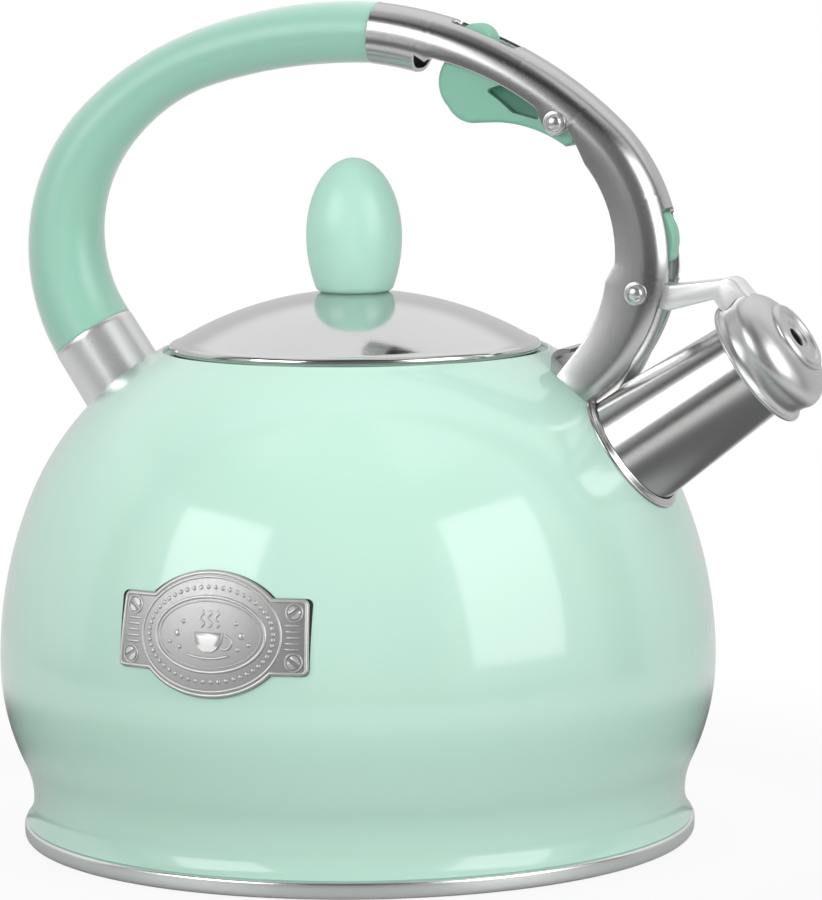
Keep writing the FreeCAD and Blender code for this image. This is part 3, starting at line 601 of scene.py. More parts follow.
def make_spout_collar():
    """The pressed collar at the spout's root: a low rounded lip that lies on the skin."""
    place, rings = spout_place(), []
    section = [(0.0, 0.0), (0.0, 1.35), (0.35, 1.05), (0.9, 0.98), (1.5, 0.92), (1.9, 0.7), (2.1, 0.35),
               (2.1, 0.0)]
    for a in turns(144):
        ring = []
        for out, up in section:
            def at(s):
                r = spout_r(s) + 0.02 + out
                return place @ Vector((r * math.cos(a), r * math.sin(a), s))
            foot = at(meets_skin(at, -26, 26))
            ring.append(foot + skin_normal(foot) * (up + 0.01))
        rings.append(ring)
    collar = mesh_object("spout_collar", *ring_grid(rings, True, True))
    return show(collar, "kettle", "polished_steel", SHELL, "spout_flange")


def make_cap():
    s, r = CAP_RIM_S, CAP_RIM_R
    line = smooth([(r - 0.1, s + 0.75), (r - 0.75, s + 2.0), (r - 0.65, s + 3.9), (r - 0.05, s + 6.4),
                   (r - 0.75, s + 8.8), (r - 2.7, s + 10.9), (r - 5.2, s + 12.3), (FACE_R + 0.05, s + 12.9)])
    inner = smooth([(FACE_R + 0.05, s + 12.2), (r - 5.4, s + 11.6), (r - 3.2, s + 10.2), (r - 1.4, s + 8.4),
                    (r - 0.75, s + 6.3), (r - 1.35, s + 4.0), (r - 1.45, s + 2.0), (r - 0.85, s + 0.6)])
    bead = arc((r, s), 0.65, 190, 440, 18)
    profile = bead + line + inner
    cap = lathe("whistle_cap_shell", profile, spout_place(), 144)
    return show(cap, "whistle_cap", "polished_steel", CAP, "cap_shell")


def make_whistle_face():
    s, r, hole = CAP_RIM_S + 12.4, FACE_R, 2.8
    profile = rounded([
        (hole, s + 0.3), (hole, s + 0.9, 0.2), (hole + 1.7, s + 0.9, 0.2), (hole + 1.9, s + 1.5, 0.3),
        (r - 2.6, s + 1.25, 0.3), (r - 2.2, s + 1.9, 0.3), (r - 1.0, s + 2.05, 0.5), (r, s + 1.2, 0.6),
        (r, s - 0.2), (r - 0.8, s - 0.2), (r - 2.3, s + 0.7), (hole + 2.0, s + 0.8)], 5)
    disc = lathe("whistle_disc", profile, spout_place(), 112)
    return show(disc, "whistle_cap", "polished_steel", CAP, "whistle_face")


def make_arm():
    px, pz = CAP_PIVOT
    cheek = outline((px, pz + 3.4), (px + 7.9, pz + 2.1), (107.2, 157.6), ((110.2, 158.1), (112.3, 156.8)),
                    (116.0, 152.6), (111.0, 148.0), (107.1, 149.6), (105.3, 152.3), (px + 7.8, pz - 4.8),
                    (px, pz - 3.4))
    under = outline((px - 20, pz - 20), (px - 20, pz + 20), (95.0, pz + 20), (95.0, 155.6), (107.0, 156.8),
                    ((109.8, 157.2), (111.5, 156.2)), (115.5, 151.8), (111.0, 130.0))
    ear = [(px - 3.4, pz), (LEVER_BAR[0] - 2.1, LEVER_BAR[1]), (LEVER_BAR[0] + 2.1, LEVER_BAR[1]),
           (px + 3.6, pz)]
    arm = prism("cap_lever", cheek, ARM_HALF_W, 0.55)
    combine(arm, "UNION", prism("ear", ear, ARM_HALF_W, 0), bar("hub", CAP_PIVOT, 3.6, ARM_HALF_W),
            bar("ear_top", LEVER_BAR, 2.1, ARM_HALF_W))
    combine(arm, "DIFFERENCE", prism("under", under, ARM_HALF_W - ARM_SHEET, 0.2))
    combine(arm, "UNION", bar("lever_bar", LEVER_BAR, LEVER_BAR_R, ARM_HALF_W - ARM_SHEET + 0.1))
    block = lathe("cap_block", [(0, CAP_RIM_S)] + smooth([
        (CAP_RIM_R + 0.4, CAP_RIM_S), (CAP_RIM_R - 0.7, CAP_RIM_S + 2.2), (CAP_RIM_R, CAP_RIM_S + 6.4),
        (CAP_RIM_R - 2.6, CAP_RIM_S + 10.9), (FACE_R, CAP_RIM_S + 12.9)]) + [(0, CAP_RIM_S + 12.9)],
        spout_place(), 96)
    combine(arm, "DIFFERENCE", bar("hole", CAP_PIVOT, PIN_HOLE_R, 10), block)
    return show(arm, "whistle_cap", "brushed_steel", ARM, "cap_arm", sharp=30)


# ---- handle ------------------------------------------------------------------------------------------

def arc_chain(start, heading, arcs, turn):
    """Tangent arcs as (centre, radius, first angle, last angle). turn is -1 to the right and +1 to
    the left."""
    chain, (x, z) = [], start
    for radius, sweep in arcs:
        a = heading - 90 * turn
        centre = on_arc((x, z), radius, a + 180)
        chain.append((centre, radius, a, a + turn * sweep))
        x, z = on_arc(centre, radius, a + turn * sweep)
        heading += turn * sweep
    return chain, (x, z), heading


def along(chain, s):
    """(point, angle of the arc's radius there) at a distance along a chain of arcs."""
    for centre, radius, a, b in chain:
        length = radius * math.radians(abs(b - a))
        if s <= length or (centre, radius, a, b) == chain[-1]:
            angle = a + math.copysign(math.degrees(s / radius), b - a)
            return Vector(on_arc(centre, radius, angle)), angle
        s -= length
    return None


def channel_chain():
    chain = arc_chain(CHANNEL_START, CHANNEL_HEADING, CHANNEL_ARCS, -1)[0]
    centre, radius, _, end = chain[0]
    joint = math.degrees(math.acos((JOINT_X - centre[0]) / (radius - TUBE_H / 2)))
    chain[0] = (centre, radius, joint, end)
    return chain


def wall_edge():
    """The free edge of the channel's walls, seen from the side, from the closed tube down to the foot."""
    lug = arc(TRIGGER_PIVOT, 3.6, 195, 335, 14)
    first = outline((20.2, 217.6), (21.6, 217.5), (24.4, 215.6), ((26.3, 216.5), (28.3, 216.3)),
                    ((43.6, 211.0), (56.6, 203.5)))
    last = outline((67.4, 195.0), (70.6, 188.2), ((77.9, 173.6), (78.9, 161.6)), (76.2, 157.0),
                   ((73.2, 146.4), (68.6, 139.0)), (63.2, 132.2), (58.0, 125.0), (40.0, 104.0))
    return first + lug + last


def front_edge():
    """The front edge of the channel's two legs, where they part to straddle the spout."""
    return outline((98.0, 159.5), (92.3, 156.2), ((89.2, 145.9), (84.2, 136.6)),
                   ((79.6, 127.8), (72.0, 118.0)), (50.0, 96.0))


def depth_to(line, start, inward, beyond):
    """How far along a ray from start an open line lies, past a first distance."""
    best = None
    for a, b in zip(line, line[1:]):
        a, b = Vector(a), Vector(b)
        edge = b - a
        cross = inward.x * edge.y - inward.y * edge.x
        if abs(cross) < 1e-9:
            continue
        gap = a - start
        t = (gap.x * edge.y - gap.y * edge.x) / cross
        u = (gap.x * inward.y - gap.y * inward.x) / cross
        if -1e-6 <= u <= 1 + 1e-6 and t > beyond and (best is None or t < best):
            best = t
    return best


def half_section(depth, tuck):
    """Half of the channel's outer section as (depth, y) points, from the top's middle to the wall's edge.
    tuck is 1 where the wall still curls under, as it does in the closed tube, and 0 where it hangs
    straight."""
    half, corner, lean = CHANNEL_W / 2, CHANNEL_CORNER, math.sin(math.radians(WALL_LEAN))
    line = [(0.0, 0.0), (0.0, (half - corner) / 2)]
    line += [(corner - corner * math.cos(a), half - corner + corner * math.sin(a))
             for a in (math.pi / 2 * i / 16 for i in range(17))]
    curl = TUBE_H - corner
    steps = 20
    for i in range(1, steps + 1):
        d = corner + (depth - corner) * i / steps
        over = min(max(d - curl, 0.0), corner)
        crown = (1 - tuck) * lean * (d - corner)**2 / (2 * (depth - corner))
        line.append((d, half - tuck * (corner - math.sqrt(corner**2 - over**2)) - crown))
    return line


def tube_bottom(depth):
    """The rest of the closed tube's half section, from the wall's edge to the bottom's middle."""
    half, corner = CHANNEL_W / 2, CHANNEL_CORNER
    first = math.asin((depth - (TUBE_H - corner)) / corner)
    line = [(TUBE_H - corner + corner * math.sin(a), half - corner + corner * math.cos(a))
            for a in (first + (math.pi / 2 - first) * i / 8 for i in range(9))]
    return line + [(TUBE_H, (half - corner) / 2), (TUBE_H, 0.0)]


def resample(line, first, last, count):
    """count + 1 evenly spaced points on a line between two distances along it."""
    lengths = [0.0]
    for a, b in zip(line, line[1:]):
        lengths.append(lengths[-1] + math.dist(a, b))
    points = []
    for i in range(count + 1):
        want = min(max(first + (last - first) * i / count, 0.0), lengths[-1])
        k = next(j for j in range(1, len(lengths)) if lengths[j] >= want - 1e-9)
        t = (want - lengths[k - 1]) / max(lengths[k] - lengths[k - 1], 1e-12)
        points.append(tuple(Vector(line[k - 1]).lerp(Vector(line[k]), t)))
    return points


def line_length(line):
    return sum(math.dist(a, b) for a, b in zip(line, line[1:]))


def slot_reach(y):
    """Distance round the section from its middle to where it stands y off the middle plane."""
    flat = CHANNEL_W / 2 - CHANNEL_CORNER
    return flat + CHANNEL_CORNER * math.asin((y - flat) / CHANNEL_CORNER)


def channel_stops(chain):
    """Distances along the channel where something starts or ends."""
    centre, radius, joint, end = chain[0]

    def at_x(x, drop):
        return radius * math.radians(joint - math.degrees(math.acos((x - centre[0]) / (radius - drop))))
    second, radius_b, start, _ = chain[1]
    front = math.degrees(math.asin((FRONT_SLOT_Z - second[1]) / radius_b))
    total = sum(r * math.radians(a - b) for _, r, a, b in chain)
    return {"tube_end": at_x(TUBE_END_X, TUBE_H), "slot": [at_x(x, 0) for x in TOP_SLOT_X],
            "front": radius * math.radians(joint - end) + radius_b * math.radians(start - front),
            "total": total}


def make_channel():
    """The stainless handle shell: a sheet folded over the top, drawn as one grid along the handle."""
    chain = channel_chain()
    stops = channel_stops(chain)
    slot_a, slot_b = stops["slot"]
    marks = [0.0, stops["tube_end"], slot_a, slot_b, stops["front"], stops["total"]]
    stations = []
    for a, b in zip(marks, marks[1:]):
        count = max(int((b - a) / 0.9), 1)
        stations += [a + (b - a) * i / count for i in range(count)]
        stations += [a + 0.25, a + 0.5, b - 0.25, b - 0.5]
    stations = sorted(set(round(s, 4) for s in stations + [stops["total"]]))
    web, wall, bottom = 7, 30, 10
    edge, front = wall_edge(), front_edge()
    corner_r = 1.6
    rows, open_web, closed_tube = [], [], []
    for s in stations:
        p, angle = along(chain, s)
        out = Vector((math.cos(math.radians(angle)), math.sin(math.radians(angle))))
        tube = s <= stops["tube_end"] + 1e-6
        depth = 13.4 if tube else depth_to(edge, p, -out, 6.0) or 20.0
        if not tube:
            depth = max(depth, CHANNEL_CORNER + 0.5)
        tuck = 1.0 if tube else max(0.0, 1 - (s - stops["tube_end"]) / 14.0)
        section = half_section(depth, tuck)
        in_slot = slot_a - 1e-6 <= s <= slot_b + 1e-6
        in_front = s >= stops["front"] - 1e-6
        reach = slot_reach(TOP_SLOT_HALF)
        if in_slot:
            from_end = min(s - slot_a, slot_b - s)
            reach -= corner_end(from_end, corner_r)
        elif in_front:
            reach = slot_reach(FRONT_SLOT_HALF) - corner_end(s - stops["front"], corner_r)
            parted = depth_to(front, p, -out, -1.5)
            if parted is not None and parted > 0 and p.y < 158:
                cos_part = max(1 - parted / CHANNEL_CORNER, 0.0)
                wide = CHANNEL_W / 2 - CHANNEL_CORNER + CHANNEL_CORNER * math.acos(cos_part)
                reach = max(reach, wide + max(parted - CHANNEL_CORNER, 0.0))
        else:
            near = min(abs(s - slot_a), abs(s - slot_b), abs(s - stops["front"]))
            reach = reach - corner_end(0, corner_r) if near < 4 else reach
        total = line_length(section)
        half = resample(section, 0.0, reach, web) + resample(section, reach, total, wall)[1:]
        if tube:
            half += resample(tube_bottom(depth), 0.0, line_length(tube_bottom(depth)), bottom)[1:]
        else:
            half += [half[-1]] * bottom
        row = [(-y, d) for d, y in half[::-1]] + [(y, d) for d, y in half[1:]]
        rows.append([(p.x - out.x * d, y, p.y - out.y * d) for y, d in row])
        open_web.append(in_slot or in_front)
        closed_tube.append(tube)
    columns = len(rows[0])
    middle = (columns - 1) // 2
    verts = [v for row in rows for v in row]
    faces = []
    for i in range(len(rows) - 1):
        for j in range(columns - 1):
            inner_web = middle - web <= j < middle + web
            in_bottom = j < bottom or j >= columns - 1 - bottom
            if inner_web and open_web[i] and open_web[i + 1]:
                continue
            if in_bottom and not (closed_tube[i] and closed_tube[i + 1]):
                continue
            a = i * columns + j
            faces.append((a, a + 1, a + columns + 1, a + columns))
    shell = mesh_object("handle_channel", verts, faces)
    loose_free(shell)
    outward(shell)
    sheet = shell.modifiers.new("Sheet", "SOLIDIFY")
    sheet.thickness, sheet.offset = CHANNEL_SHEET * MM, -1.0
    edges = shell.modifiers.new("Edges", "BEVEL")
    edges.width, edges.segments, edges.limit_method = 0.22 * MM, 2, "ANGLE"
    edges.angle_limit = math.radians(50)
    applied(shell)
    spout = lathe("cut", [(0, -24), (spout_r(-24) + 0.15, -24), (spout_r(40) + 0.15, 40), (0, 40)],
                  spout_place(), 96)
    combine(shell, "DIFFERENCE", skin_solid("cut", 0.03), spout, bar("cut", TRIGGER_PIVOT, PIN_HOLE_R, 12),
            bar("cut", CAP_PIVOT, PIN_HOLE_R, 12))
    keep_largest(shell)
    return show(shell, "kettle", "brushed_steel", SHELL, "handle_shell", sharp=38)


def corner_end(distance, radius):
    """How much a slot's half width is lost this far from its end, for a round corner."""
    if distance >= radius:
        return 0.0
    return radius - math.sqrt(radius**2 - (radius - distance)**2)


def loose_free(obj):
    bm = bmesh.new()
    bm.from_mesh(obj.data)
    bmesh.ops.dissolve_degenerate(bm, dist=1e-7, edges=bm.edges)
    bmesh.ops.delete(bm, geom=[v for v in bm.verts if not v.link_faces], context="VERTS")
    bm.to_mesh(obj.data)
    bm.free()


def outward(obj):
    """Turns an open sheet's faces so that its topmost one looks up."""
    top = max(obj.data.polygons, key=lambda f: f.center.z)
    if top.normal.z < 0:
        obj.data.flip_normals()


def keep_largest(obj):
    """Drops any crumb that a trim has cut free."""
    bm = bmesh.new()
    bm.from_mesh(obj.data)
    bm.verts.ensure_lookup_table()
    seen, groups = set(), []
    for seed in bm.verts:
        if seed.index in seen:
            continue
        stack, group = [seed], []
        seen.add(seed.index)
        while stack:
            v = stack.pop()
            group.append(v)
            for e in v.link_edges:
                w = e.other_vert(v)
                if w.index not in seen:
                    seen.add(w.index)
                    stack.append(w)
        groups.append(group)
    groups.sort(key=len)
    bmesh.ops.delete(bm, geom=[v for g in groups[:-1] for v in g], context="VERTS")
    bm.to_mesh(obj.data)
    bm.free()


def grip_chain():
    return arc_chain(GRIP_START, 180 - GRIP_HEADING, GRIP_ARCS, 1)


def grip_radius(fraction):
    xs, rs = zip(*GRIP_RADII)
    k = next(i for i in range(1, len(xs)) if fraction <= xs[i] + 1e-9)
    slopes = [(rs[min(i + 1, len(xs) - 1)] - rs[max(i - 1, 0)])
              / (xs[min(i + 1, len(xs) - 1)] - xs[max(i - 1, 0)]) for i in (k - 1, k)]
    width = xs[k] - xs[k - 1]
    t = (fraction - xs[k - 1]) / width
    return ((2 * t**3 - 3 * t**2 + 1) * rs[k - 1] + (t**3 - 2 * t**2 + t) * width * slopes[0]
            + (3 * t**2 - 2 * t**3) * rs[k] + (t**3 - t**2) * width * slopes[1])


def make_grip():
    """The soft-touch sleeve: a round section that grows along the handle's arcs, with rolled ends."""
    chain = grip_chain()[0]
    total = sum(r * math.radians(b - a) for _, r, a, b in chain)
    core_r, roll = 4.05, 0.5
    _, joint = along(channel_chain(), 0.0)
    rings, count = [], 150
    rows = [(0.0, -4), (0.0, -3), (0.0, -2), (0.0, -1)] + [(i / count, 0) for i in range(count + 1)]
    rows += [(1.0, 1), (1.0, 2), (1.0, 3), (1.0, 4)]
    for fraction, cap in rows:
        p, angle = along(chain, fraction * total)
        tilt = (joint - angle) * max(0.0, 1 - fraction / 0.06)
        side = math.radians(angle + tilt)
        up = Vector((math.cos(side), 0, math.sin(side)))
        ahead = Vector((-up.z, 0, up.x))
        r, shift = grip_radius(fraction), 0.0
        if cap:
            turn = math.radians(30 * abs(cap))
            r, shift = r - roll * (1 - math.cos(turn)), roll * math.sin(turn)
            if abs(cap) == 4:
                r, shift = core_r, roll
        trim = roll if fraction < 0.5 else -roll
        at = Vector((p.x, 0, p.y))
        at += ahead * (trim + (-shift if fraction < 0.5 else shift)) if fraction in (0.0, 1.0) else Vector()
        rings.append([at + (up * math.cos(t) + Vector((0, 1, 0)) * math.sin(t)) * r
                      for t in turns(72)])
    n = len(rings[0])
    bore = []
    for fraction in [i / 30 for i in range(1, 30)]:
        p, angle = along(chain, (1 - fraction) * total)
        side = math.radians(angle)
        up = Vector((math.cos(side), 0, math.sin(side)))
        bore.append([Vector((p.x, 0, p.y)) + (up * math.cos(t) + Vector((0, 1, 0)) * math.sin(t)) * core_r
                     for t in turns(n)])
    rings += bore
    verts, faces = ring_grid(rings, True, True)
    grip = mesh_object("soft_grip", verts, faces)
    return show(grip, "kettle", "grip_mint", GRIP, "grip")


def make_ferrule():
    """The steel ferrule: a slightly flared tube whose foot follows the body's skin."""
    _, end, heading = grip_chain()
    run = math.radians(heading)
    axis = Vector((math.cos(run), 0, math.sin(run)))
    side, across = Vector((-axis.z, 0, axis.x)), Vector((0, 1, 0))
    start = Vector((end[0], 0, end[1]))
    top_r = GRIP_RADII[-1][1] + 0.1
    rings = []
    for a in turns(128):
        out = side * math.cos(a) + across * math.sin(a)

        def at(s, inset=0.0):
            grow = (FERRULE_FOOT_R - top_r) * s / FERRULE_L
            return start + axis * s + out * (top_r + grow - inset)
        foot = meets_skin(lambda s: at(-s), -FERRULE_L - 14, -4)
        inner_foot = meets_skin(lambda s: at(-s, FERRULE_SHEET), -FERRULE_L - 14, -4)
        ring = [at(0.0, 0.45), at(0.12, 0.15), at(0.45, 0.0)]
        ring += [at(0.45 + (-foot - 0.45) * j / 16) for j in range(1, 17)]
        ring += [at(-inner_foot * (1 - j / 10), FERRULE_SHEET) for j in range(11)]
        rings.append(ring)
    ferrule = mesh_object("handle_ferrule", *ring_grid(rings, True, True))
    return show(ferrule, "kettle", "brushed_steel", FERRULE, "rear_ferrule")


# ---- trigger and pins --------------------------------------------------------------------------------

def make_trigger():
    paddle = outline((29.6, 216.3), ((27.3, 210.4), (30.0, 203.4)), ((33.6, 199.9), (38.6, 199.1)),
                     (44.5, 199.3), ((54.6, 197.5), (63.9, 192.9)), (66.5, 193.8), (66.6, 202.0),
                     (56.0, 206.6), (45.0, 212.6))
    button = outline((33.4, 211.0), (33.4, 224.4), ((36.6, 226.0), (41.4, 224.0)), (42.4, 222.2),
                     (42.4, 209.0))
    face_x = LEVER_BAR[0] + LEVER_BAR_R + 0.35
    hook = outline((64.0, 194.2), (64.0, 203.4), ((79.2, 193.0), (88.2, 175.6)), (91.2, 175.2),
                   ((93.7, 169.8), (93.4, 164.2)), ((92.5, 162.3), (91.2, 162.0)), (face_x, 162.0),
                   (face_x, 168.4), ((82.9, 181.9), (71.2, 193.6)))
    trigger = prism("trigger_lever", paddle, 6.0, 1.5, 5)
    hub = bar("hub", TRIGGER_PIVOT, 4.2, 6.0)
    combine(trigger, "UNION", prism("button", button, 3.6, 1.1, 4), prism("hook", hook, 3.0, 0.7, 3), hub)
    hollow = [(40.9, 208.2), (45.0, 205.3), (49.0, 201.9), (56.8, 199.9), (56.0, 204.6), (47.0, 210.0)]
    soft_hollow = rounded([(x, z, 0.8) for x, z in hollow], 4)
    combine(trigger, "DIFFERENCE", prism("cut", soft_hollow, 2.9, 0.4, shift=-6.0),
            prism("cut", soft_hollow, 2.9, 0.4, shift=6.0), bar("cut", TRIGGER_PIVOT, PIN_HOLE_R, 10))
    # painted shade: marks the hollow so that the trigger's material darkens it towards its bottom
    mark_painted_shade(trigger, [(49.1 + (x - 49.1) * 1.06, 205.0 + (z - 205.0) * 1.06) for x, z in soft_hollow])
    return show(trigger, "trigger", "trigger_mint", TRIGGER, "trigger", sharp=32)


def mark_painted_shade(trigger, ring):
    """Painted shade for the trigger's material, as a point attribute: 0 on the paddle's faces, 1 at the
    bottom of the hollow that the ring surrounds.
    """
    layer = trigger.data.attributes.new("painted_shade", "FLOAT", "POINT")
    for vert, item in zip(trigger.data.vertices, layer.data):
        x, y, z = vert.co / MM
        crossings = sum((b[1] > z) != (a[1] > z) and x < a[0] + (z - a[1]) * (b[0] - a[0]) / (b[1] - a[1])
                        for a, b in zip(ring, ring[1:] + ring[:1]))
        item.value = min(max((5.9 - abs(y)) / 2.2, 0.0), 1.0) if crossings % 2 else 0.0


def make_pin(name, node, pivot):
    """A rivet across the channel: a shank and, each side, a pressed ring round a domed head."""
    half = CHANNEL_W / 2
    head = [(3.2, half), (3.2, half + 0.25), (3.05, half + 0.5), (2.7, half + 0.62), (2.45, half + 0.45),
            (2.3, half + 0.2), (2.15, half + 0.45), (2.0, half + 0.85), (1.6, half + 1.2),
            (1.05, half + 1.42), (0.5, half + 1.54), (0, half + 1.57)]
    line = [(PIN_R, 0), (PIN_R, half), *head]
    profile = line + [(r, -z) for r, z in line[:0:-1]]
    place = Matrix.Translation((pivot[0], 0, pivot[1])) @ Matrix.Rotation(math.radians(90), 4, "X")
    pin = lathe(name, profile, place, 64)
    return show(pin, "kettle", "polished_steel", CHROME, node)


# ---- nameplate ---------------------------------------------------------------------------------------

def on_body(u, v, h):
    """A point on the near side of the body: u round it, v up it, h off it."""
    z = PLATE_Z + v
    r = skin_radius(z)
    a = (PLATE_X + u) / BELLY_R
    p = Vector((r * math.sin(a), -r * math.cos(a), z))
    return p + skin_normal(p) * h


def plate_radius(degrees, inset=0.0):
    """Distance from the plate's middle to its edge: the larger of the oval and the ears."""
    a = math.radians(degrees)
    c, s = abs(math.cos(a)), abs(math.sin(a))
    oval_u, oval_v = PLATE_OVAL[0] - inset, PLATE_OVAL[1] - inset
    oval = oval_u * oval_v / math.hypot(oval_v * c, oval_u * s)
    ear_u, ear_v, corner = PLATE_HALF_L - inset, PLATE_EAR_H - inset, max(1.8 - inset, 0.4)
    if s * (ear_u - corner) < c * (ear_v - corner):
        box = ear_u / c
    elif s * ear_u > c * ear_v and (s * (ear_u - corner) > c * ear_v):
        box = ear_v / s
    else:
        dot = (ear_u - corner) * c + (ear_v - corner) * s
        box = dot + math.sqrt(max(dot**2 - (ear_u - corner)**2 - (ear_v - corner)**2 + corner**2, 0.0))
    return max(oval, box)


def plate_edge(inset, count=360):
    angles = [360 * i / count for i in range(count)]
    return [(plate_radius(a, inset) * math.cos(math.radians(a)),
             plate_radius(a, inset) * math.sin(math.radians(a))) for a in angles]


def ellipse(u, v, count=180):
    return [(u * math.cos(2 * math.pi * i / count), v * math.sin(2 * math.pi * i / count))
            for i in range(count)]


class Relief:
    """Collects the plate's raised pieces as points on the body."""

    def __init__(self):
        self.verts, self.faces = [], []

    def add(self, points, faces):
        base = len(self.verts)
        self.verts += [on_body(u, v, h) for u, v, h in points]
        self.faces += [tuple(base + i for i in f) for f in faces]

    def field(self, base, top):
        """The plate itself: rings from the middle to the edge, round the edge and back under."""
        edge, rings = plate_edge(0.0), []
        for t in [i / 26 for i in range(1, 26)] + [0.985]:
            rings.append([(u * t, v * t, top) for u, v in edge])
        inner = plate_edge(0.12)
        rings.append([(u, v, top - 0.05) for u, v in inner])
        rings.append([(u, v, top - 0.2) for u, v in edge])
        rings.append([(u, v, base) for u, v in edge])
        rings.append([(u * 0.5, v * 0.5, base) for u, v in edge])
        verts, faces = ring_grid(rings)
        n = len(edge)
        self.add(verts + [(0, 0, top), (0, 0, base)],
                 faces + [(i, (i + 1) % n, len(verts)) for i in range(n)]
                 + [(len(verts) - n + i, len(verts) - n + (i + 1) % n, len(verts) + 1) for i in range(n)])

    def ridge(self, line, width, foot, height, closed=True):
        """A half-round bead along a flat line."""
        n = len(line)
        rings = []
        for i, (u, v) in enumerate(line):
            before = line[i - 1] if closed or i else line[0]
            after = line[(i + 1) % n] if closed or i < n - 1 else line[-1]
            d = (Vector(after) - Vector(before)).normalized()
            side = Vector((-d.y, d.x))
            taper = 1.0 if closed or 0 < i < n - 1 else 0.35
            ring = [(u + side.x * math.cos(a) * width / 2 * taper,
                     v + side.y * math.cos(a) * width / 2 * taper,
                     foot + height * taper * math.sin(a)) for a in (math.pi * k / 6 for k in range(7))]
            rings.append(ring + [(u, v, foot - 0.1)])
        verts, faces = ring_grid(rings, True, closed)
        if not closed:
            m = len(rings[0])
            faces += [tuple(range(m)), tuple(len(verts) - m + i for i in range(m))]
        self.add(verts, faces)

    def dome(self, u, v, radius, foot, height, sides=20):
        rings = [[(u + radius * math.cos(t) * math.cos(a), v + radius * math.sin(t) * math.cos(a),
                   foot + height * math.sin(a)) for t in turns(sides)]
                 for a in (math.pi / 2 * k / 5 for k in range(5))]
        verts, faces = ring_grid(rings)
        tip = len(verts)
        self.add(verts + [(u, v, foot + height), (u, v, foot - 0.1)],
                 faces + [(tip - sides + i, tip - sides + (i + 1) % sides, tip) for i in range(sides)]
                 + [(i, (i + 1) % sides, tip + 1) for i in range(sides)])

    def block(self, line, foot, height, soften=0.15):
        """A flat raised shape with eased edges, star-shaped about its middle."""
        cu, cv = (sum(p[k] for p in line) / len(line) for k in (0, 1))
        size = max(math.dist(p, (cu, cv)) for p in line)
        k = 1 - soften / size
        rings = [[(cu + (u - cu) * t, cv + (v - cv) * t, h) for u, v in line] for t, h in
                 ((1, foot - 0.1), (1, foot + height - soften), (k, foot + height), (0.5, foot + height))]
        verts, faces = ring_grid(rings)
        n, tip = len(line), len(verts)
        self.add(verts + [(cu, cv, foot + height), (cu, cv, foot - 0.1)],
                 faces + [(tip - n + i, tip - n + (i + 1) % n, tip) for i in range(n)]
                 + [(i, (i + 1) % n, tip + 1) for i in range(n)])


def make_nameplate():
    """An oval plate with ears: borders, bars, four slotted studs, a bead row and a steaming cup."""
    relief = Relief()
    base, top = TAPE_T, TAPE_T + PLATE_T - 0.45
    relief.field(base, top)
    relief.ridge(plate_edge(0.75), 0.9, top, 0.4)
    relief.ridge(ellipse(20.0, 14.6), 0.7, top, 0.32)
    relief.ridge(ellipse(15.7, 9.6), 0.9, top, 0.4)
    relief.ridge(ellipse(14.5, 8.5), 0.35, top, 0.2)
    for side in (-1, 1):
        for row in range(-2, 3):
            v = 1.5 * row
            u0, u1 = 21.3 - 0.25 * abs(row), 25.3
            relief.ridge([(side * (u0 + (u1 - u0) * i / 6), v) for i in range(7)], 0.75, top, 0.3, False)
        for up in (-1, 1):
            stud(relief, side * 23.4, up * 6.3, top, 35 * side * up)
    beads = 52
    for i in range(beads):
        a = 2 * math.pi * (i + 0.5) / beads
        relief.dome(17.9 * math.cos(a), 12.1 * math.sin(a), 0.62, top, 0.36, 12)
    steaming_cup(relief, top)
    plate = mesh_object("maker_plate", relief.verts, relief.faces)
    mark_relief(plate, top)
    return show(plate, "kettle", "plate_steel", PLATE, "nameplate", sharp=60)


def mark_relief(plate, top):
    """Attribute 'relief': 0 on the plate's field, 1 on what stands up from it."""
    layer = plate.data.attributes.new("relief", "FLOAT", "POINT")
    for vert, item in zip(plate.data.vertices, layer.data):
        p = vert.co / MM
        flat = math.hypot(p.x, p.y)
        rise = (flat - skin_radius(p.z)) * math.cos(math.atan(0.12))
        item.value = min(max((rise - top - 0.02) / 0.22, 0.0), 1.0)


def stud(relief, u, v, foot, turn):
    """A slotted screw head: a ring and two half discs with the slot between them."""
    relief.ridge([(u + 2.25 * math.cos(a), v + 2.25 * math.sin(a))
                  for a in turns(36)], 0.5, foot, 0.32)
    for half in (0, 180):
        a0 = turn + half
        line = [on_arc((u, v), 1.75, a0 + 14 + 152 * i / 16) for i in range(17)]
        relief.block(line, foot, 0.36, 0.2)


def steaming_cup(relief, foot):
    cup = [(-4.2, 0.6), (4.2, 0.6)] + arc_through((3.9, -1.2), (2.6, -3.6), (1.4, -4.4), 6)
    cup += [(-p[0], p[1]) for p in arc_through((3.9, -1.2), (2.6, -3.6), (1.4, -4.4), 6)[::-1]]
    relief.block(cup, foot, 0.42, 0.3)
    relief.ridge(arc_through((4.0, -0.2), (6.4, -1.3), (3.3, -2.9), 12), 0.7, foot, 0.36, False)
    saucer = smooth([(-6.2, -5.1), (-3.0, -5.8), (0, -6.0), (3.0, -5.8), (6.2, -5.1)])
    relief.ridge(saucer, 0.7, foot, 0.34, False)
    for u in (-2.2, 0.0, 2.2):
        steam = smooth([(u, 1.8), (u + 0.7, 2.9), (u - 0.5, 4.2), (u + 0.4, 5.4), (u, 6.2)])
        relief.ridge(steam, 0.55, foot, 0.32, False)
    for side in (-1, 1):
        for u, v, r in ((9.2, 0.0, 0.85), (7.6, 3.1, 0.6), (11.3, -2.2, 0.55), (8.3, -3.4, 0.6)):
            relief.dome(side * u, v, r, foot, 0.4, 14)


# ---- what stays as the CAD made it -------------------------------------------------------------------

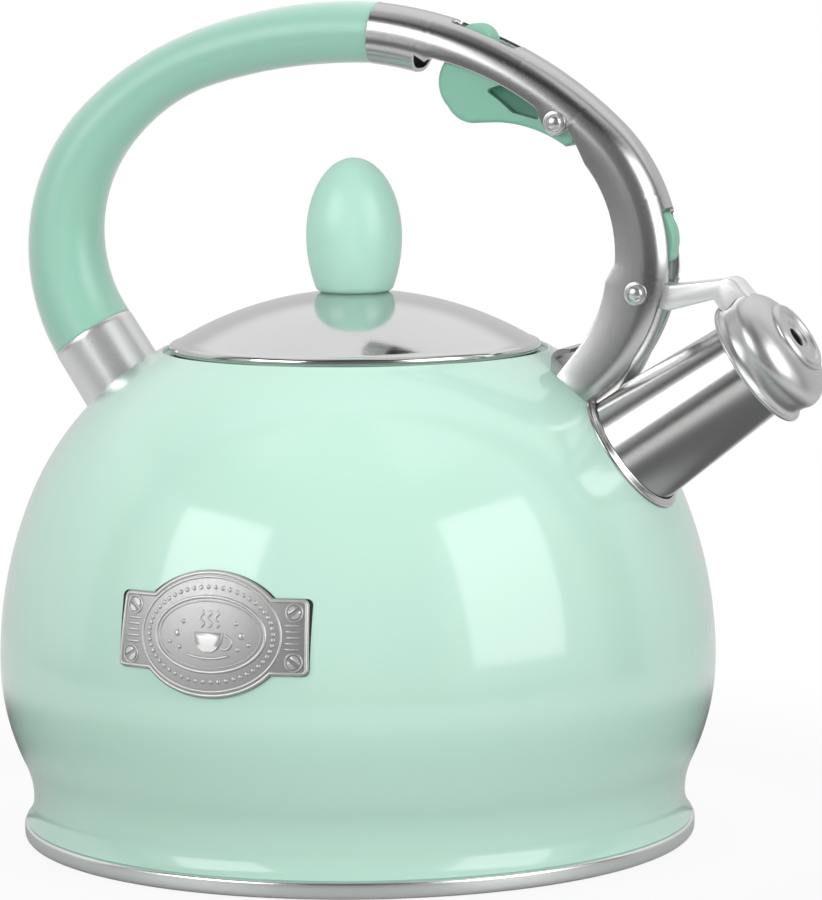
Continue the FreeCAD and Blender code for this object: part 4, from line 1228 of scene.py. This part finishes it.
def dress_frame():
    """Materials for the CAD nodes that still show."""
    finishes = {"heat_spreader": ALUMINIUM, "induction_plate": BASE, "neck_ring": BASE, "front_plug": NYLON,
                "front_bracket": SHELL, "grip_core": HIDDEN, "rear_foot": HIDDEN, "nameplate_tape": TAPE,
                "lid_skirt": BASE, "knob_insert": BRASS, "knob_screw": HIDDEN, "knob_washer": HIDDEN,
                "whistle_plate": HIDDEN, "cap_spring": HIDDEN}
    for node, material in finishes.items():
        obj = frame["nodes"][node]
        obj.data.materials.clear()
        obj.data.materials.append(material)


# ---- studio ------------------------------------------------------------------------------------------

def make_camera():
    """A long lens to the right of the nameplate's side, a little above the kettle's top, level with it."""
    azimuth, distance, height = math.radians(22.0), 1.2199, 0.25393
    yaw, pitch, roll = 0.0125, 0.1196, -0.0089
    data = bpy.data.cameras.new("camera")
    data.lens, data.sensor_width, data.clip_start = 176.2, 36.0, 0.05
    camera = bpy.data.objects.new("camera", data)
    turn = (Matrix.Rotation(azimuth - yaw, 4, "Z") @ Matrix.Rotation(math.pi / 2 - pitch, 4, "X")
            @ Matrix.Rotation(roll, 4, "Z"))
    place = Matrix.Translation((distance * math.sin(azimuth), -distance * math.cos(azimuth), height))
    camera.matrix_world = place @ turn
    bpy.context.scene.collection.objects.link(camera)
    bpy.context.scene.camera = camera


def softbox(name, azimuth, elevation, distance, size, power, mirrored=True, aim=(0, 0, 0.11)):
    """An area light. Azimuth is measured as the camera's is: 22 degrees is straight behind the camera.
    mirrored says whether the steel and enamel show it as a highlight."""
    data = bpy.data.lights.new(name, "AREA")
    data.shape, data.size, data.size_y, data.energy = "RECTANGLE", size[0], size[1], power
    light = bpy.data.objects.new(name, data)
    a, e = math.radians(azimuth), math.radians(elevation)
    place = Vector((math.sin(a) * math.cos(e), -math.cos(a) * math.cos(e), math.sin(e))) * distance
    light.location = place + Vector(aim)
    light.rotation_euler = place.to_track_quat("Z", "Y").to_euler()
    light.visible_glossy = mirrored
    bpy.context.scene.collection.objects.link(light)


def ramp(nodes, stops):
    node = nodes.new("ShaderNodeValToRGB")
    node.color_ramp.interpolation = "EASE"
    items = node.color_ramp.elements
    while len(items) < len(stops):
        items.new(0.5)
    for item, (place, value) in zip(items, stops):
        item.position, item.color = place, (value, value, value, 1)
    return node


def rise(degrees):
    """Where an elevation falls on a ramp that runs from straight down to straight up."""
    return (math.sin(math.radians(degrees)) + 1) / 2


def make_world():
    """White to look at. As a reflection it is a soft grey room: a dark skirting just under the
    horizon, a dark rail over the front softboxes, a dark flag each side, and a brighter ceiling."""
    world = bpy.data.worlds.new("studio")
    bpy.context.scene.world = world
    world.use_nodes = True
    nodes, links = world.node_tree.nodes, world.node_tree.links
    nodes.clear()
    out = nodes.new("ShaderNodeOutputWorld")
    coords = nodes.new("ShaderNodeTexCoord")
    split = nodes.new("ShaderNodeSeparateXYZ")
    links.new(coords.outputs["Generated"], split.inputs[0])

    def scaled(value, first, last):
        node = nodes.new("ShaderNodeMapRange")
        node.inputs["From Min"].default_value, node.inputs["From Max"].default_value = first, last
        links.new(value, node.inputs["Value"])
        return node.outputs["Result"]

    def mixed(blend, a, b, factor=None):
        node = nodes.new("ShaderNodeMix")
        node.data_type, node.blend_type = "RGBA", blend
        links.new(a, node.inputs["A"])
        links.new(b, node.inputs["B"])
        if factor:
            links.new(factor, node.inputs["Factor"])
        else:
            node.inputs["Factor"].default_value = 1.0
        return node.outputs["Result"]

    turn = nodes.new("ShaderNodeMath")
    turn.operation = "ARCTAN2"
    links.new(split.outputs["Y"], turn.inputs[0])
    links.new(split.outputs["X"], turn.inputs[1])
    around, tall = scaled(turn.outputs[0], -math.pi, math.pi), scaled(split.outputs["Z"], -1.0, 1.0)
    sides = ramp(nodes, [((90 + a) / 360, v) for a, v in SIDE_STOPS])
    front = ramp(nodes, [(rise(e), v) for e, v in FRONT_STOPS])
    back = ramp(nodes, [(rise(e), v) for e, v in BACK_STOPS])
    links.new(around, sides.inputs["Fac"])
    links.new(tall, front.inputs["Fac"])
    links.new(tall, back.inputs["Fac"])
    level = mixed("MIX", back.outputs["Color"], front.outputs["Color"],
                  scaled(split.outputs["Y"], 0.25, -0.25))
    room = nodes.new("ShaderNodeBackground")
    links.new(mixed("MULTIPLY", level, sides.outputs["Color"]), room.inputs["Color"])
    room.inputs["Strength"].default_value = ROOM
    white = nodes.new("ShaderNodeBackground")
    white.inputs["Color"].default_value = (1, 1, 1, 1)
    sight = nodes.new("ShaderNodeLightPath")
    choose = nodes.new("ShaderNodeMixShader")
    links.new(sight.outputs["Is Camera Ray"], choose.inputs["Fac"])
    links.new(room.outputs[0], choose.inputs[1])
    links.new(white.outputs[0], choose.inputs[2])
    links.new(choose.outputs[0], out.inputs["Surface"])


def make_floor():
    """A pale round tabletop that blends into the white behind it, with a faint shadow."""
    edge = [(x, y, 0) for x, y in ellipse(FLOOR_R, FLOOR_R, 96)]
    floor = mesh_object("floor", edge, [tuple(range(96))])
    paint = Paint("pale_floor", (0.6, 0.6, 0.6), 0.0, 0.6)
    glow, sight = paint.node("ShaderNodeEmission", Strength=1.0), paint.node("ShaderNodeLightPath")
    far = paint.node("ShaderNodeVectorMath", operation="LENGTH")
    fade, share = paint.node("ShaderNodeMapRange"), paint.node("ShaderNodeMath", operation="MULTIPLY")
    for key, value in (("From Min", 0.1), ("From Max", 0.3), ("To Min", 0.92), ("To Max", 1.0)):
        fade.inputs[key].default_value = value
    tone = ramp(paint.nodes, FLOOR_STOPS)
    blend, out = paint.node("ShaderNodeMixShader"), paint.nodes["Material Output"]
    glow.inputs["Color"].default_value = (1, 1, 1, 1)
    paint.link(paint.place, far.inputs[0])
    paint.link(far.outputs["Value"], fade.inputs["Value"])
    paint.link(far.outputs["Value"], tone.inputs["Fac"])
    paint.link(tone.outputs["Color"], paint.surface.inputs["Base Color"])
    paint.link(sight.outputs["Is Camera Ray"], share.inputs[0])
    paint.link(fade.outputs["Result"], share.inputs[1])
    paint.link(share.outputs[0], blend.inputs["Fac"])
    paint.link(paint.surface.outputs[0], blend.inputs[1])
    paint.link(glow.outputs[0], blend.inputs[2])
    paint.link(blend.outputs[0], out.inputs["Surface"])
    floor.data.materials.append(paint.material)


ROOM = 1.12
FLOOR_R = 480
FLOOR_STOPS = ((0.0, 0.5), (0.12, 0.5), (0.15, 0.12), (0.19, 0.12), (0.28, 0.75), (1.0, 0.75))
SIDE_STOPS = ((-90, 0.9), (-78, 0.9), (-72, 0.25), (-66, 0.25), (-56, 0.8), (-36, 0.8), (-28, 0.4),
              (-12, 0.4), (-4, 0.22), (44, 0.22), (54, 0.9), (104, 0.9), (110, 0.15), (120, 0.15),
              (128, 0.9), (202, 0.95), (270, 0.9))
FRONT_STOPS = ((-90, 0.5), (-30, 0.4), (-22, 0.2), (-7, 0.2), (-1, 0.7), (36, 0.7), (42, 0.05),
               (55, 0.05), (64, 0.7), (90, 0.7))
BACK_STOPS = ((-90, 0.6), (-3, 0.6), (8, 0.6), (20, 0.6), (32, 0.86), (90, 0.86))


def make_studio():
    make_floor()
    softbox("left_box", -29, 23, 1.6, (0.9, 0.85), 7.0)
    softbox("right_box", 73, 20, 1.6, (0.95, 1.2), 9.0)
    softbox("ceiling", 22, 88, 1.5, (1.0, 1.0), 6.5, mirrored=False)
    softbox("fill", 12, 0, 1.8, (1.2, 1.0), 10.5, mirrored=False)
    make_world()
    bpy.context.scene.view_settings.view_transform = "Standard"


make_camera()
make_studio()
dress_frame()
make_body()
make_rim()
make_lid()
make_knob()
make_spout()
make_spout_collar()
make_cap()
make_whistle_face()
make_arm()
make_channel()
grip = make_grip()
make_ferrule()
trigger = make_trigger()
for piece in (grip, trigger, frame["nodes"]["grip_core"]):
    piece.visible_glossy = False
make_pin("trigger_rivet", "trigger_pin", TRIGGER_PIVOT)
make_pin("cap_rivet", "cap_pin", CAP_PIVOT)
make_nameplate()
